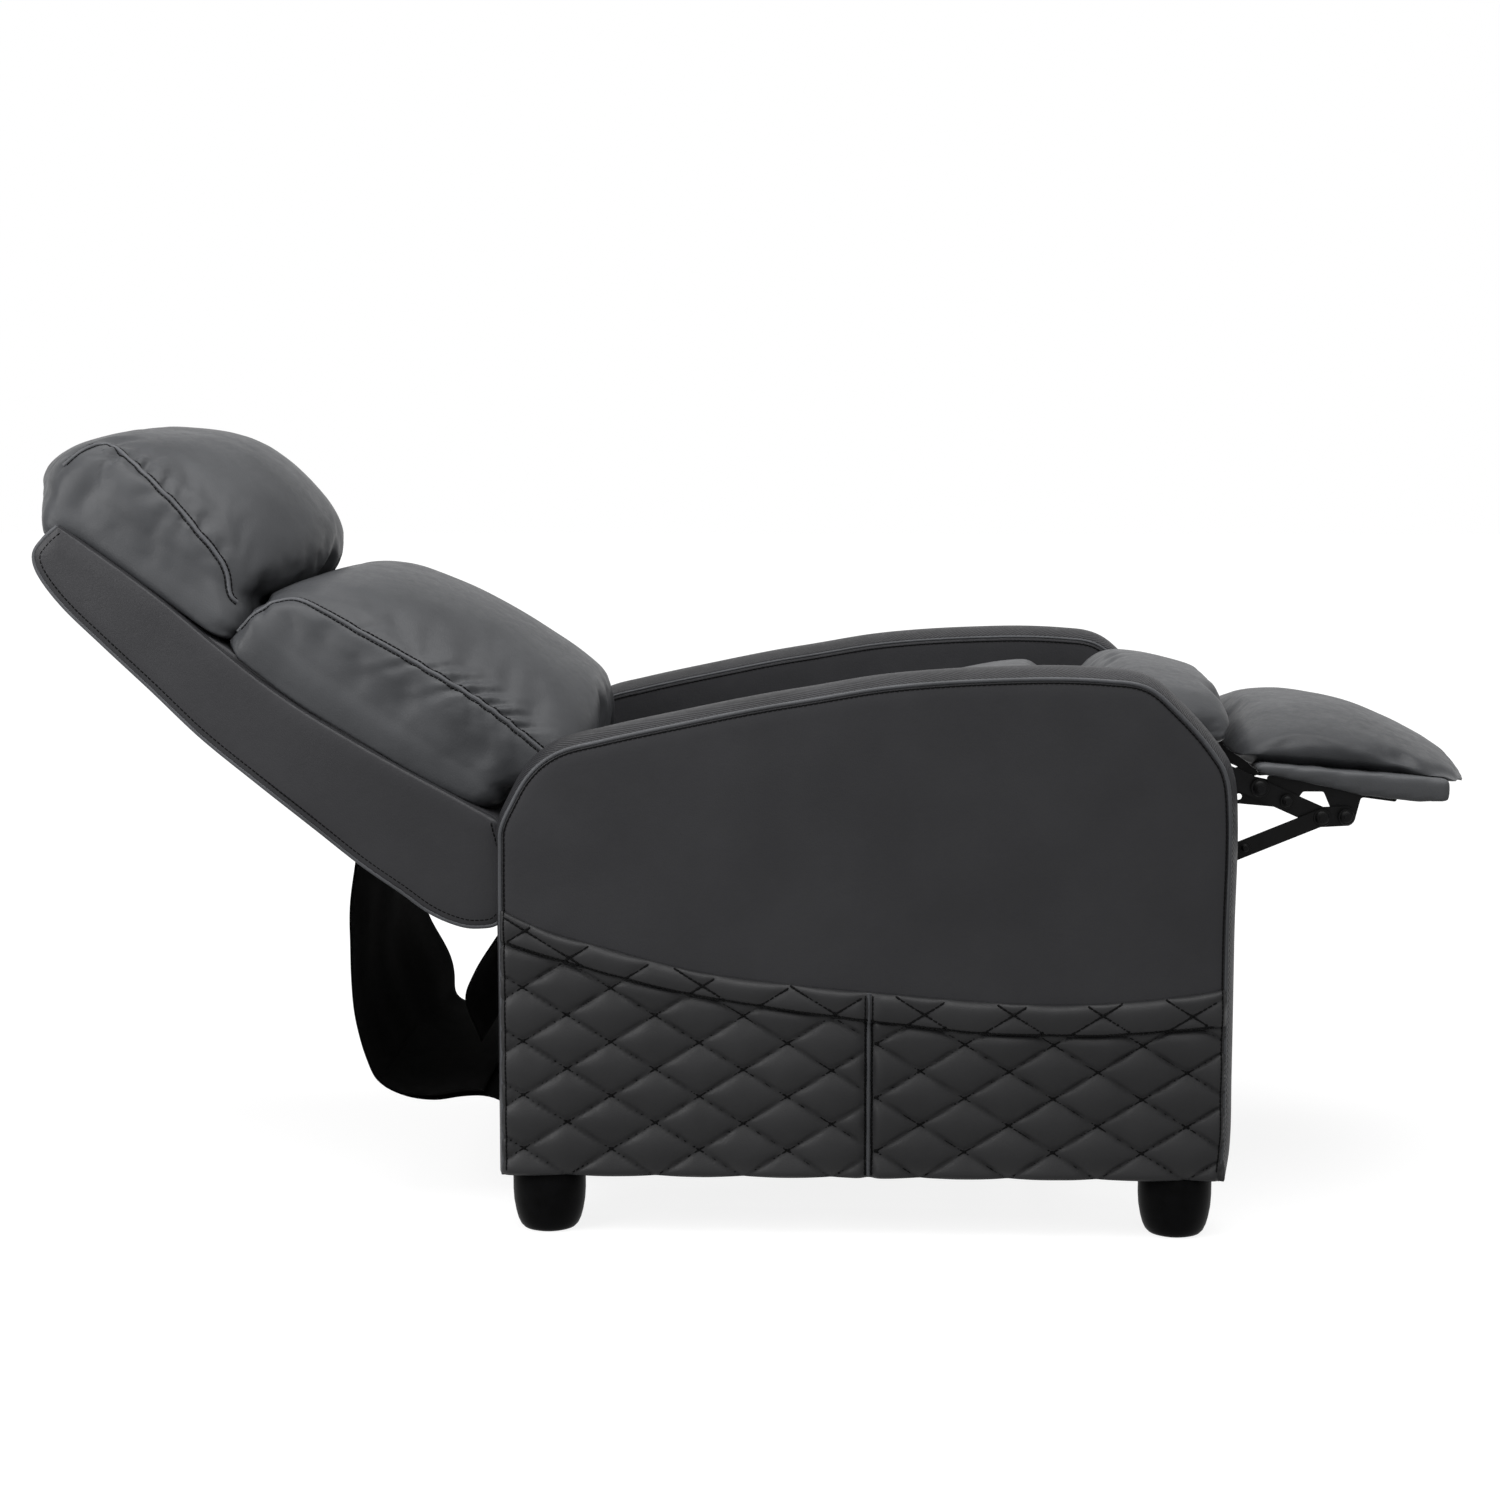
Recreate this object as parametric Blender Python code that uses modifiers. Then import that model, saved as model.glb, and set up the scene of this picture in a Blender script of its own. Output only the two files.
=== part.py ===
# Push-back gaming recliner, fully reclined with its footrest out.
# Metres, +Z up, +X towards the footrest, +Y towards the sitter's left.
# The floor is at Z = 0 and the finished chair stands with the middle of its bounding box over the origin.

import math

import bmesh
import bpy
from mathutils import Matrix, Vector

# Overall sizes
CHAIR_WIDTH = 0.690
GAP = 0.0003
CLOTH = 0.003

# Arms, seen from the side between their rear edge and the floor
ARM_REAR_X = -0.367
ARM_DEPTH = 0.772
ARM_HEIGHT = 0.538
ARM_WIDTH = 0.085
ARM_INNER_BOARD = 0.0115
ARM_EDGE_RADIUS = 0.007
BAND_INSET = 0.004
BAND_CROWN = 0.010
BAND_SIDE_CROWN = 0.005
BAND_EDGE = 0.0015
BAND_RING_SHARES = (-1.0, -0.55, 0.0, 0.55, 1.0)

# Outline points as shares of the arm's depth and height, from the rear bottom corner round to the front one
ARM_OUTLINE_SHARES = (
    (0.000, 0.000), (0.000, 0.658), (0.001, 0.697), (0.016, 0.747), (0.036, 0.797), (0.057, 0.829),
    (0.085, 0.853), (0.140, 0.874), (0.258, 0.911), (0.361, 0.941), (0.427, 0.957), (0.522, 0.980),
    (0.600, 0.991), (0.693, 0.998), (0.771, 1.000), (0.833, 0.996), (0.874, 0.989), (0.895, 0.976),
    (0.927, 0.935), (0.959, 0.887), (0.981, 0.846), (0.991, 0.823), (0.997, 0.796), (1.000, 0.764),
    (1.000, 0.206), (0.999, 0.054), (0.994, 0.000),
)

# Quilted side panel
QUILT_BASE = 0.0020
QUILT_PUFF = 0.0032
HEM_THICKNESS = 0.0045
DIAMOND_LENGTH = 0.0945
DIAMOND_HEIGHT = 0.0586
DIAMOND_START = 0.0232
HEM_TOP_SHARES = (
    (0.000, 0.530), (0.062, 0.489), (0.139, 0.457), (0.194, 0.435), (0.277, 0.407), (0.415, 0.381),
    (0.552, 0.364), (0.689, 0.349), (0.772, 0.346), (0.854, 0.351), (0.937, 0.364), (1.000, 0.379),
)
HEM_BOTTOM_SHARES = (
    (0.000, 0.489), (0.070, 0.457), (0.139, 0.428), (0.207, 0.403), (0.276, 0.381), (0.359, 0.362),
    (0.442, 0.345), (0.580, 0.322), (0.662, 0.310), (0.745, 0.307), (0.828, 0.307), (1.000, 0.327),
)

# Feet
FOOT_HEIGHT = 0.067
FOOT_RADIUS = 0.0395
FOOT_FLAT_RADIUS = 0.025
FOOT_STEPS = 20
FOOT_INSET = 0.0465
FOOT_PROFILE_SHARES = ((1.00, 1.00), (1.00, 0.62), (0.97, 0.40), (0.90, 0.20), (0.79, 0.06))

# Base
TUBE_SIDE = 0.025
TUBE_Z = 0.1352
FRONT_TUBE_X = 0.235
REAR_TUBE_X = -0.200
BOARD_THICKNESS = 0.018
BOARD_HEIGHT = 0.065
BOARD_BOTTOM_Z = 0.085
REAR_BOARD_X = -0.366
RAIL_BAR_HEIGHT = 0.030
RAIL_FOOT_WIDTH = 0.020
RAIL_OVERHANG = 0.025
CORNER_RADIUS = 0.008

# Steel sheet stack of the mechanism, counted outwards from the seat's side rails
PLATE = 0.003
PLATE_SPACE = 0.0012
STACK_ROOM = 0.047
PIN_RADIUS = 0.005
LOOSE_PIN_RADIUS = 0.004
RUNNING_CLEARANCE = 0.0003
STEPS = 12
LUG_RADIUS = 0.0125
CRANK_BOSS_RADIUS = 0.0155
CRANK_WINDOW_RADIUS = 0.020
LINK_HALF_WIDTH = 0.0110
BAR_HALF_WIDTH = 0.0095
PLATE_LINK_END = 0.0130
LIGHTENING_RADIUS = 0.0037
LIGHTENING_RIM = 0.0038
TORQUE_TUBE_RADIUS = 0.011
TORQUE_TUBE_WALL = 0.0018

# Pivots, as X and Z
CRANK_BASE_PIVOT = (0.2313, 0.2217)
CRANK_SEAT_PIVOT = (0.1830, 0.3545)
CRANK_BAR_PIVOT = (0.3552, 0.3764)
TORQUE_TUBE_AXIS = (0.2050, 0.2900)
SWING_BASE_PIVOT = (0.0649, 0.2827)
SWING_SEAT_PIVOT = (0.0423, 0.3901)
UPPER_LINK_PIVOT = (0.3950, 0.4850)
LOWER_LINK_PIVOT = (0.3782, 0.5074)
REST_REAR_PIVOT = (0.4820, 0.4660)
REST_FRONT_PIVOT = (0.5460, 0.4450)
KNEE_PIVOT = (0.5200, 0.4440)
BACK_PIVOT = (-0.3600, 0.4000)
LIGHTENING_HOLES = ((0.4310, 0.4650), (0.4600, 0.4770))

# Wooden seat frame, along a line that climbs towards the front
SEAT_RAIL_REAR = (-0.335, 0.330)
SEAT_RAIL_FRONT = (0.372, 0.495)
SEAT_RAIL_HEIGHT = 0.040
SEAT_RAIL_THICKNESS = 0.020
SPRING_COUNT = 4
SPRING_WAVES = 11
SPRING_WIRE_RADIUS = 0.0019
SPRING_REACH = 0.022
SPRING_SIDE_ROOM = 0.0352
SPRING_LIFT = 0.0035
SPRING_REACH_SHARES = (0.7, 1.0, 0.7)
SPRING_SEAT_SHARE = 0.25
FRONT_RAIL_RISE = 0.0087
FRONT_UPSTAND_SHARE = 0.45

# Seat cushions
SEAT_SIDE_ROOM = 0.010
SEAT_CUSHION_LENGTH = 0.586
SEAT_CUSHION_REAR_X = -0.322
SEAT_CUSHION_HEIGHT = 0.100
FRONT_PAD_LENGTH = 0.157
FRONT_PAD_HEIGHT = 0.084
CUSHION_SPACE = 0.006
CUSHION_CELLS = (8, 6, 2)
CUSHION_CROWN_POWER = 2.4
CORNER_PINCH_SHARE = 0.035

# Footrest
REST_REAR = (0.448, 0.5035)
REST_FRONT = (0.658, 0.4862)
REST_BOARD_REAR = 0.011
REST_BOARD_FRONT = 0.025
REST_SIDE_ROOM = 0.026
REST_CUSHION_HEIGHT = 0.076
BRACKET_REAR_SETBACK = 0.022
BRACKET_FRONT_REACH = 0.056
BRACKET_RIM = 0.009
BRACKET_FLANGE = 0.032
BRACKET_WAIST = 0.018

# Back, drawn along a line from its foot towards the head
BACK_FOOT = (-0.379, 0.439)
BACK_SLOPE = math.radians(146.06)
BACK_LENGTH = 0.580
BACK_DEPTH = 0.175
BACK_SIDE_ROOM = 0.005
BACK_WALL = 0.012
BACK_PANEL_THICKNESS = 0.018
BACK_PANEL_REACH = 0.545
BACK_CUSHION_SETBACK = 0.015
BACK_SEAT_FACE = 0.012
BACK_TOP_LOWERING = 0.030
HOLLOW_FOOT_SHARE = -0.06
HOLLOW_MOUTH_SHARE = -0.30
HOLLOW_REAR_SHARE = -0.26
BRACKET_LENGTH = 0.150
SLOT_ROWS = 3
SLOT_COLUMNS = 3
SLOT_MARGIN = 0.045
SLOT_BRIDGE = 0.030

# The back casing's side outline, as shares of the back's length and depth
BACK_OUTLINE_SHARES = (
    (0.991, 0.000), (1.000, -0.114), (0.998, -0.240), (0.972, -0.314), (0.905, -0.394), (0.803, -0.457),
    (0.678, -0.526), (0.552, -0.600), (0.426, -0.640), (0.276, -0.680), (0.166, -0.709), (0.078, -0.714),
    (0.009, -0.720), (-0.050, -0.680), (-0.084, -0.617), (-0.105, -0.543), (-0.078, -0.257), (0.000, 0.000),
    (0.100, -0.029), (0.205, -0.063), (0.314, -0.091), (0.422, -0.109), (0.514, -0.103), (0.619, -0.074),
    (0.750, -0.029), (0.845, -0.011),
)
HEAD_BASE_SHARES = ((0.693, -0.066), (0.966, -0.066), (1.000, -0.130), (1.040, -0.130))
HEAD_SEAM_SHARES = (
    (0.676, 0.143), (0.707, 0.263), (0.738, 0.349), (0.786, 0.423), (0.847, 0.503), (0.898, 0.531),
    (0.936, 0.560), (1.014, 0.560), (1.058, 0.500), (1.072, 0.300),
)
HEAD_CROWN_SHARES = (
    (0.569, 0.640), (0.600, 0.766), (0.664, 0.891), (0.740, 0.983), (0.814, 0.994), (0.886, 0.931),
    (0.950, 0.817), (1.019, 0.680), (1.086, 0.531), (1.131, 0.383), (1.170, 0.229), (1.202, 0.063),
)
LUMBAR_BASE_SHARES = ((0.006, -0.066), (0.676, -0.066))
LUMBAR_SEAM_SHARES = (
    (0.006, 0.531), (0.086, 0.554), (0.155, 0.560), (0.243, 0.543), (0.328, 0.520), (0.412, 0.491),
    (0.498, 0.463), (0.557, 0.417), (0.588, 0.326), (0.609, 0.206),
)
LUMBAR_CROWN_SHARES = (
    (0.006, 0.857), (0.038, 0.954), (0.114, 1.011), (0.209, 0.994), (0.300, 0.960), (0.386, 0.914),
    (0.467, 0.829), (0.536, 0.674), (0.548, 0.583),
)

# Seat and footrest cushions, as shares of their own length and height
SEAT_BASE_SHARES = ((0.0, 0.0), (1.0, 0.0))
SEAT_SEAM_SHARES = ((0.0, 0.62), (0.10, 0.78), (0.50, 0.84), (0.90, 0.84), (1.0, 0.70))
SEAT_CROWN_SHARES = ((0.0, 0.72), (0.10, 0.98), (0.50, 1.06), (0.90, 1.06), (1.0, 0.94))
FRONT_BASE_SHARES = ((0.0, -0.190), (0.25, -0.090), (0.375, 0.00), (1.00, 0.000))
FRONT_SEAM_SHARES = ((0.02, 0.66), (0.25, 0.72), (0.55, 0.62), (0.80, 0.42), (1.00, 0.20))
FRONT_CROWN_SHARES = ((0.02, 0.90), (0.12, 1.00), (0.35, 0.98), (0.62, 0.86), (0.85, 0.66), (1.00, 0.46))
REST_BASE_SHARES = ((-0.09, 0.00), (1.10, 0.00))
REST_SEAM_SHARES = ((-0.03, 0.34), (0.20, 0.52), (0.50, 0.50), (0.80, 0.36), (1.06, 0.04))
REST_CROWN_SHARES = (
    (-0.09, 0.72), (0.02, 0.84), (0.20, 0.96), (0.40, 1.00), (0.62, 0.94), (0.80, 0.80), (0.96, 0.64),
    (1.12, 0.42), (1.24, 0.10), (1.30, -0.14),
)

# Rear flap, from the back's casing down to the rear board, as shares of its drop and reach
FLAP_FOOT_Z = 0.1180
FLAP_REACH = 0.1735
FLAP_DROP = 0.270
FLAP_SETBACK = 0.010
FLAP_HEAD_SHARES = (0.187, -0.7035)
FLAP_SHARES = (
    (0.994, 0.848), (1.000, 0.685), (0.989, 0.522), (0.948, 0.319), (0.885, 0.199),
    (0.816, 0.109), (0.684, 0.058), (0.494, 0.040), (0.305, 0.058), (0.178, 0.058), (0.080, 0.036),
    (0.010, -0.010), (0.000, -0.100),
)

SIDES = (("left", 1), ("right", -1))
FRONT_PAD_REAR_X = SEAT_CUSHION_REAR_X + SEAT_CUSHION_LENGTH + CUSHION_SPACE
FRONT_RAIL_TOP_Z = SEAT_RAIL_FRONT[1] + SEAT_RAIL_HEIGHT / 2 + FRONT_RAIL_RISE
FRONT_PAD_BOTTOM_Z = FRONT_RAIL_TOP_Z + GAP
ARM_OUTER_Y = CHAIR_WIDTH / 2
ARM_INNER_Y = ARM_OUTER_Y - ARM_WIDTH
ARM_SKIN_Y = ARM_OUTER_Y - QUILT_BASE - QUILT_PUFF - GAP
CROSS_HALF = ARM_INNER_Y - GAP

# Everything between the arms keeps its room to them
STACK_INNER_Y = ARM_INNER_Y - STACK_ROOM
SEAT_HALF_WIDTH = ARM_INNER_Y - SEAT_SIDE_ROOM
REST_HALF_WIDTH = ARM_INNER_Y - REST_SIDE_ROOM
BACK_HALF_WIDTH = ARM_INNER_Y - BACK_SIDE_ROOM
BACK_CUSHION_HALF_WIDTH = BACK_HALF_WIDTH - BACK_CUSHION_SETBACK
FLAP_HALF_WIDTH = BACK_HALF_WIDTH - FLAP_SETBACK
RAIL_OUTER_Y = STACK_INNER_Y - GAP
RAIL_INNER_Y = RAIL_OUTER_Y - SEAT_RAIL_THICKNESS
SPRING_PITCH_Y = 2 * (RAIL_INNER_Y - SPRING_SIDE_ROOM) / (SPRING_COUNT - 1)


def clear_scene():
    for obj in list(bpy.data.objects):
        bpy.data.objects.remove(obj, do_unlink=True)


def new_collection(name):
    collection = bpy.data.collections.new(name)
    bpy.context.scene.collection.children.link(collection)
    return collection


def make_material(name, color, roughness, metallic=0.0):
    material = bpy.data.materials.new(name)
    material.use_nodes = True
    shader = material.node_tree.nodes["Principled BSDF"]
    shader.inputs["Base Color"].default_value = (*color, 1.0)
    shader.inputs["Roughness"].default_value = roughness
    shader.inputs["Metallic"].default_value = metallic
    return material


def make_empty(name, place, parent):
    empty = bpy.data.objects.new(name, None)
    parts.objects.link(empty)
    empty.empty_display_size = PIN_RADIUS
    empty.parent = parent
    base = parent.matrix_world.translation if parent else Vector()
    empty.location = Vector(place) - base
    bpy.context.view_layer.update()
    return empty


def add_part(name, mesh, body, finish):
    """Makes a mesh, given in world coordinates, a part of one moving body."""
    obj = bpy.data.objects.new(name, mesh)
    parts.objects.link(obj)
    obj.parent = bodies[body]
    obj.matrix_parent_inverse = bodies[body].matrix_world.inverted()
    material = finishes[finish].copy()
    material.name = name
    mesh.materials.clear()
    mesh.materials.append(material)
    mesh.shade_smooth()
    mesh.set_sharp_from_angle(angle=math.radians(35))
    return obj


def add_helper(name, mesh):
    """A cutter or a piece to join, which keeps its place beside the parts."""
    obj = bpy.data.objects.new(name, mesh)
    cutters.objects.link(obj)
    obj.parent = bodies["base"]
    obj.hide_render = True
    obj.display_type = "WIRE"
    return obj


def add_boolean(obj, helper, operation, solver="EXACT"):
    modifier = obj.modifiers.new(helper.name, "BOOLEAN")
    modifier.operation = operation
    modifier.solver = solver
    modifier.object = helper


def evaluated_mesh(obj):
    """The mesh of an object with its modifiers applied, in world coordinates."""
    graph = bpy.context.evaluated_depsgraph_get()
    mesh = bpy.data.meshes.new_from_object(obj.evaluated_get(graph))
    mesh.transform(obj.matrix_world)
    shape = bmesh.new()
    shape.from_mesh(mesh)
    bmesh.ops.remove_doubles(shape, verts=shape.verts, dist=GAP / 30)
    bmesh.ops.recalc_face_normals(shape, faces=shape.faces)
    shape.to_mesh(mesh)
    shape.free()
    return mesh


def circle(center, radius, steps=STEPS):
    turns = [2 * math.pi * i / steps for i in range(steps)]
    return [(center[0] + radius * math.cos(a), center[1] + radius * math.sin(a)) for a in turns]


def hull(circles):
    """The belt round several circles, each given as a centre and a radius."""
    points = sorted(p for center, radius in circles for p in circle(center, radius, 2 * STEPS))
    halves = []
    for run in (points, points[::-1]):
        half = []
        for p in run:
            while len(half) > 1 and turn(half[-2], half[-1], p) <= 0:
                half.pop()
            half.append(p)
        halves.append(half[:-1])
    return halves[0] + halves[1]


def turn(a, b, c):
    return (b[0] - a[0]) * (c[1] - a[1]) - (b[1] - a[1]) * (c[0] - a[0])


def strap(points, half_width, end_steps=8):
    """The outline of a flat bar along a bent line, with round ends and round outer bends."""
    line = [Vector(p) for p in points]
    runs = [(b - a).normalized() for a, b in zip(line, line[1:])]
    sides = [Vector((-run.y, run.x)) for run in runs]
    outline = []
    for flip in (1, -1):
        side = [s * flip for s in (sides if flip == 1 else sides[::-1])]
        spots = line if flip == 1 else line[::-1]
        for i, spot in enumerate(spots):
            first = side[max(i - 1, 0)]
            last = side[min(i, len(side) - 1)]
            if i == len(spots) - 1:
                last = -first
            if i == 0:
                continue
            bend = first.x * last.y - first.y * last.x
            if i < len(spots) - 1 and bend > 0:
                middle = (first + last) / (1 + first.dot(last))
                outline.append(tuple(spot + middle * half_width))
                continue
            sweep = math.pi if i == len(spots) - 1 else first.angle(last)
            steps = max(1, round(end_steps * sweep / math.pi))
            for k in range(steps + (0 if i == len(spots) - 1 else 1)):
                ray = first.copy()
                ray.rotate(Matrix.Rotation(-sweep * k / steps, 2))
                outline.append(tuple(spot + ray * half_width))
    return outline


def fillet(corners, radius, steps=4):
    """Rounds each corner of a polygon with an arc, limited by its shorter side."""
    outline = []
    count = len(corners)
    for i, corner in enumerate(corners):
        here = Vector(corner)
        back = Vector(corners[i - 1]) - here
        ahead = Vector(corners[(i + 1) % count]) - here
        half = back.angle(ahead) / 2
        reach = min(radius / math.tan(half), back.length / 2.2, ahead.length / 2.2)
        if math.degrees(half) > 85:
            outline.append(tuple(here))
            continue
        start = here + back.normalized() * reach
        end = here + ahead.normalized() * reach
        for k in range(steps + 1):
            t = k / steps
            outline.append(tuple(start * (1 - t) ** 2 + here * 2 * t * (1 - t) + end * t * t))
    return outline


def along_seat(distance_share, rise=0.0):
    """A point on the seat frame's line, moved square to it by rise."""
    rear = Vector(SEAT_RAIL_REAR)
    run = Vector(SEAT_RAIL_FRONT) - rear
    square = Vector((-run.y, run.x)).normalized()
    return tuple(rear + run * distance_share + square * rise)


def on_seat_line(x, rise=0.0):
    """The height of the seat frame's line at x, raised by rise."""
    slope = (SEAT_RAIL_FRONT[1] - SEAT_RAIL_REAR[1]) / (SEAT_RAIL_FRONT[0] - SEAT_RAIL_REAR[0])
    return SEAT_RAIL_REAR[1] + slope * (x - SEAT_RAIL_REAR[0]) + rise


def on_rest_line(x, rise=0.0):
    """The height of the footrest board's top at x, raised by rise."""
    slope = (REST_FRONT[1] - REST_REAR[1]) / (REST_FRONT[0] - REST_REAR[0])
    return REST_REAR[1] + slope * (x - REST_REAR[0]) + rise


def under_rest(x, drop=0.0):
    """The height of the footrest board's underside at x, lowered by drop."""
    share = (x - REST_REAR[0]) / (REST_FRONT[0] - REST_REAR[0])
    return on_rest_line(x, -REST_BOARD_REAR - (REST_BOARD_FRONT - REST_BOARD_REAR) * share - drop)


def on_back(length, depth):
    """A point of the back, from its distance up the back and out of its face, as X and Z."""
    up = Vector((math.cos(BACK_SLOPE), math.sin(BACK_SLOPE)))
    out = Vector((up.y, -up.x))
    return tuple(Vector(BACK_FOOT) + up * length + out * depth)


def on_arm(shares):
    return [(ARM_REAR_X + u * ARM_DEPTH, FOOT_HEIGHT + v * ARM_HEIGHT) for u, v in shares]


def on_back_shares(shares):
    return [on_back(u * BACK_LENGTH, v * BACK_DEPTH) for u, v in shares]


def slab_mesh(outline, near_y, far_y, holes=(), bevel=0.0):
    """A flat outline in X and Z, with holes, made solid between two values of Y."""
    curve = bpy.data.curves.new("slab", "CURVE")
    curve.dimensions = "2D"
    curve.fill_mode = "BOTH"
    curve.extrude = abs(far_y - near_y) / 2
    for loop in (outline, *holes):
        spline = curve.splines.new("POLY")
        spline.points.add(len(loop) - 1)
        spline.use_cyclic_u = True
        for point, (x, z) in zip(spline.points, loop):
            point.co = (x, z, 0, 1)
    obj = bpy.data.objects.new("slab", curve)
    cutters.objects.link(obj)
    obj.rotation_euler = (math.pi / 2, 0, 0)
    obj.location = (0, (near_y + far_y) / 2, 0)
    if bevel:
        weld = obj.modifiers.new("weld", "WELD")
        weld.merge_threshold = GAP / 30
        edge = obj.modifiers.new("edge", "BEVEL")
        edge.width = bevel
        edge.segments = 2
        edge.limit_method = "ANGLE"
        edge.angle_limit = math.radians(60)
    bpy.context.view_layer.update()
    mesh = evaluated_mesh(obj)
    bpy.data.objects.remove(obj, do_unlink=True)
    bpy.data.curves.remove(curve)
    return mesh


def box_mesh(low, high):
    shape = bmesh.new()
    bmesh.ops.create_cube(shape, size=1)
    size = Vector(high) - Vector(low)
    bmesh.ops.scale(shape, vec=size, verts=shape.verts)
    bmesh.ops.translate(shape, vec=Vector(low) + size / 2, verts=shape.verts)
    return finished(shape, "box")


def rod_mesh(center, radius, near_y, far_y, steps=STEPS):
    shape = bmesh.new()
    bmesh.ops.create_cone(
        shape, cap_ends=True, segments=steps, radius1=radius, radius2=radius, depth=abs(far_y - near_y)
    )
    bmesh.ops.rotate(shape, cent=(0, 0, 0), matrix=Matrix.Rotation(math.pi / 2, 3, "X"), verts=shape.verts)
    bmesh.ops.translate(shape, vec=(center[0], (near_y + far_y) / 2, center[1]), verts=shape.verts)
    return finished(shape, "rod")


def finished(shape, name):
    """The mesh of a closed shape, with its faces turned outwards."""
    mesh = bpy.data.meshes.new(name)
    bmesh.ops.recalc_face_normals(shape, faces=shape.faces)
    if shape.calc_volume(signed=True) < 0:
        bmesh.ops.reverse_faces(shape, faces=shape.faces)
    shape.to_mesh(mesh)
    shape.free()
    return mesh


def layer(index):
    """The inner and outer Y of one steel sheet in the stack beside the seat frame."""
    inner = STACK_INNER_Y + index * (PLATE + PLATE_SPACE)
    return inner, inner + PLATE


def steel_part(name, side, level, outline, body, finish, bores=(), holes=(), pins=(), flanges=()):
    """A sheet steel part with bores that run on pins, plain holes, its own pins and folded flanges."""
    inner, outer = layer(level)
    loops = [circle(c, PIN_RADIUS + clearance) for c, clearance in bores]
    loops += [circle(c, radius) for c, radius in holes]
    obj = add_part(name, slab_mesh(outline, side * inner, side * outer, loops), body, finish)
    for i, (center, radius, start, end) in enumerate(pins):
        pin = rod_mesh(center, radius, side * start, side * end)
        add_boolean(obj, add_helper(f"{name}_pin_{i}", pin), "UNION", "MANIFOLD")
    for i, (loop, start, end) in enumerate(flanges):
        flange = slab_mesh(loop, side * start, side * end)
        add_boolean(obj, add_helper(f"{name}_flange_{i}", flange), "UNION", "MANIFOLD")
    return obj


def sampled(points, count):
    """Points at even distances along a line of points."""
    line = [Vector(p) for p in points]
    lengths = [0.0]
    for a, b in zip(line, line[1:]):
        lengths.append(lengths[-1] + (b - a).length)
    found = []
    for k in range(count + 1):
        want = lengths[-1] * k / count
        i = next(i for i in range(1, len(line)) if lengths[i] >= want - 1e-9 or i == len(line) - 1)
        t = (want - lengths[i - 1]) / (lengths[i] - lengths[i - 1])
        found.append(line[i - 1].lerp(line[i], min(t, 1.0)))
    return found


def cushion(name, base, seam, crown, half_width, body, finish, cells=CUSHION_CELLS):
    """A stuffed pad: a coarse cage that follows its base, side seams and crown, then one subdivision."""
    shape = bmesh.new()
    bmesh.ops.create_cube(shape, size=2)
    for axis, count in enumerate(cells):
        runs = [e for e in shape.edges if abs((e.verts[0].co - e.verts[1].co)[axis]) > 1]
        bmesh.ops.subdivide_edges(shape, edges=runs, cuts=count - 1, use_grid_fill=True)
    lines = [sampled(points, cells[0]) for points in (base, seam, crown)]
    for vert in shape.verts:
        u, v, w = vert.co
        i = round((u + 1) / 2 * cells[0])
        across = abs(v)
        height = (w + 1) / 2
        low, side, top = (line[i] for line in lines)
        high = side.lerp(top, 1 - across**CUSHION_CROWN_POWER)
        place = low.lerp(high, height)
        outermost = round(across * cells[1] / 2) == cells[1] / 2
        pinch = CORNER_PINCH_SHARE * (1 - 4 * height * (1 - height)) * abs(u) ** 3
        y = half_width * v * (1 - pinch * outermost)
        vert.co = (place.x, y, place.y)
    mesh = finished(shape, name)
    obj = add_part(name, mesh, body, finish)
    smooth = obj.modifiers.new("stuffing", "SUBSURF")
    smooth.levels = 1
    smooth.render_levels = 1
    return obj


def crowned_band(name, path, near_y, far_y, body, finish):
    """A padded strip that follows the arm's edge, thickest along its middle and over the top."""
    shape = bmesh.new()
    line = [Vector(p) for p in path]
    middle = (near_y + far_y) / 2
    half = (far_y - near_y) / 2
    rings = []
    for i, spot in enumerate(line):
        run = line[min(i + 1, len(line) - 1)] - line[max(i - 1, 0)]
        out = Vector((-run.y, run.x)).normalized()
        crown = BAND_SIDE_CROWN + (BAND_CROWN - BAND_SIDE_CROWN) * max(out.y, 0)
        ring = []
        for share in BAND_RING_SHARES:
            lift = GAP + BAND_EDGE + (crown - BAND_EDGE) * (1 - share * share)
            place = spot + out * lift
            ring.append(shape.verts.new((place.x, middle + half * share, place.y)))
        foot = spot + out * GAP
        ring.append(shape.verts.new((foot.x, middle + half, foot.y)))
        ring.append(shape.verts.new((foot.x, middle - half, foot.y)))
        rings.append(ring)
    edges = []
    for ring in rings:
        edges.append([shape.edges.new((a, b)) for a, b in zip(ring, ring[1:] + ring[:1])])
    for first, last in zip(edges, edges[1:]):
        bmesh.ops.bridge_loops(shape, edges=first + last)
    bmesh.ops.contextual_create(shape, geom=edges[0])
    bmesh.ops.contextual_create(shape, geom=edges[-1])
    return add_part(name, finished(shape, name), body, finish)


def build_arm(label, side):
    outline = on_arm(ARM_OUTLINE_SHARES)
    board_y = ARM_INNER_Y + ARM_INNER_BOARD
    body_mesh = slab_mesh(outline, side * (board_y + GAP), side * ARM_SKIN_Y, bevel=ARM_EDGE_RADIUS / 2)
    add_part(f"arm_body_{label}", body_mesh, "base", "leather")
    inner_mesh = slab_mesh(outline, side * ARM_INNER_Y, side * board_y)
    add_part(f"arm_inner_panel_{label}", inner_mesh, "base", "leather")
    ends = sorted((side * (ARM_INNER_Y + BAND_INSET), side * (ARM_SKIN_Y - BAND_INSET)))
    crowned_band(f"arm_top_band_{label}", outline, *ends, "base", "ribbed_leather")


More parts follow.
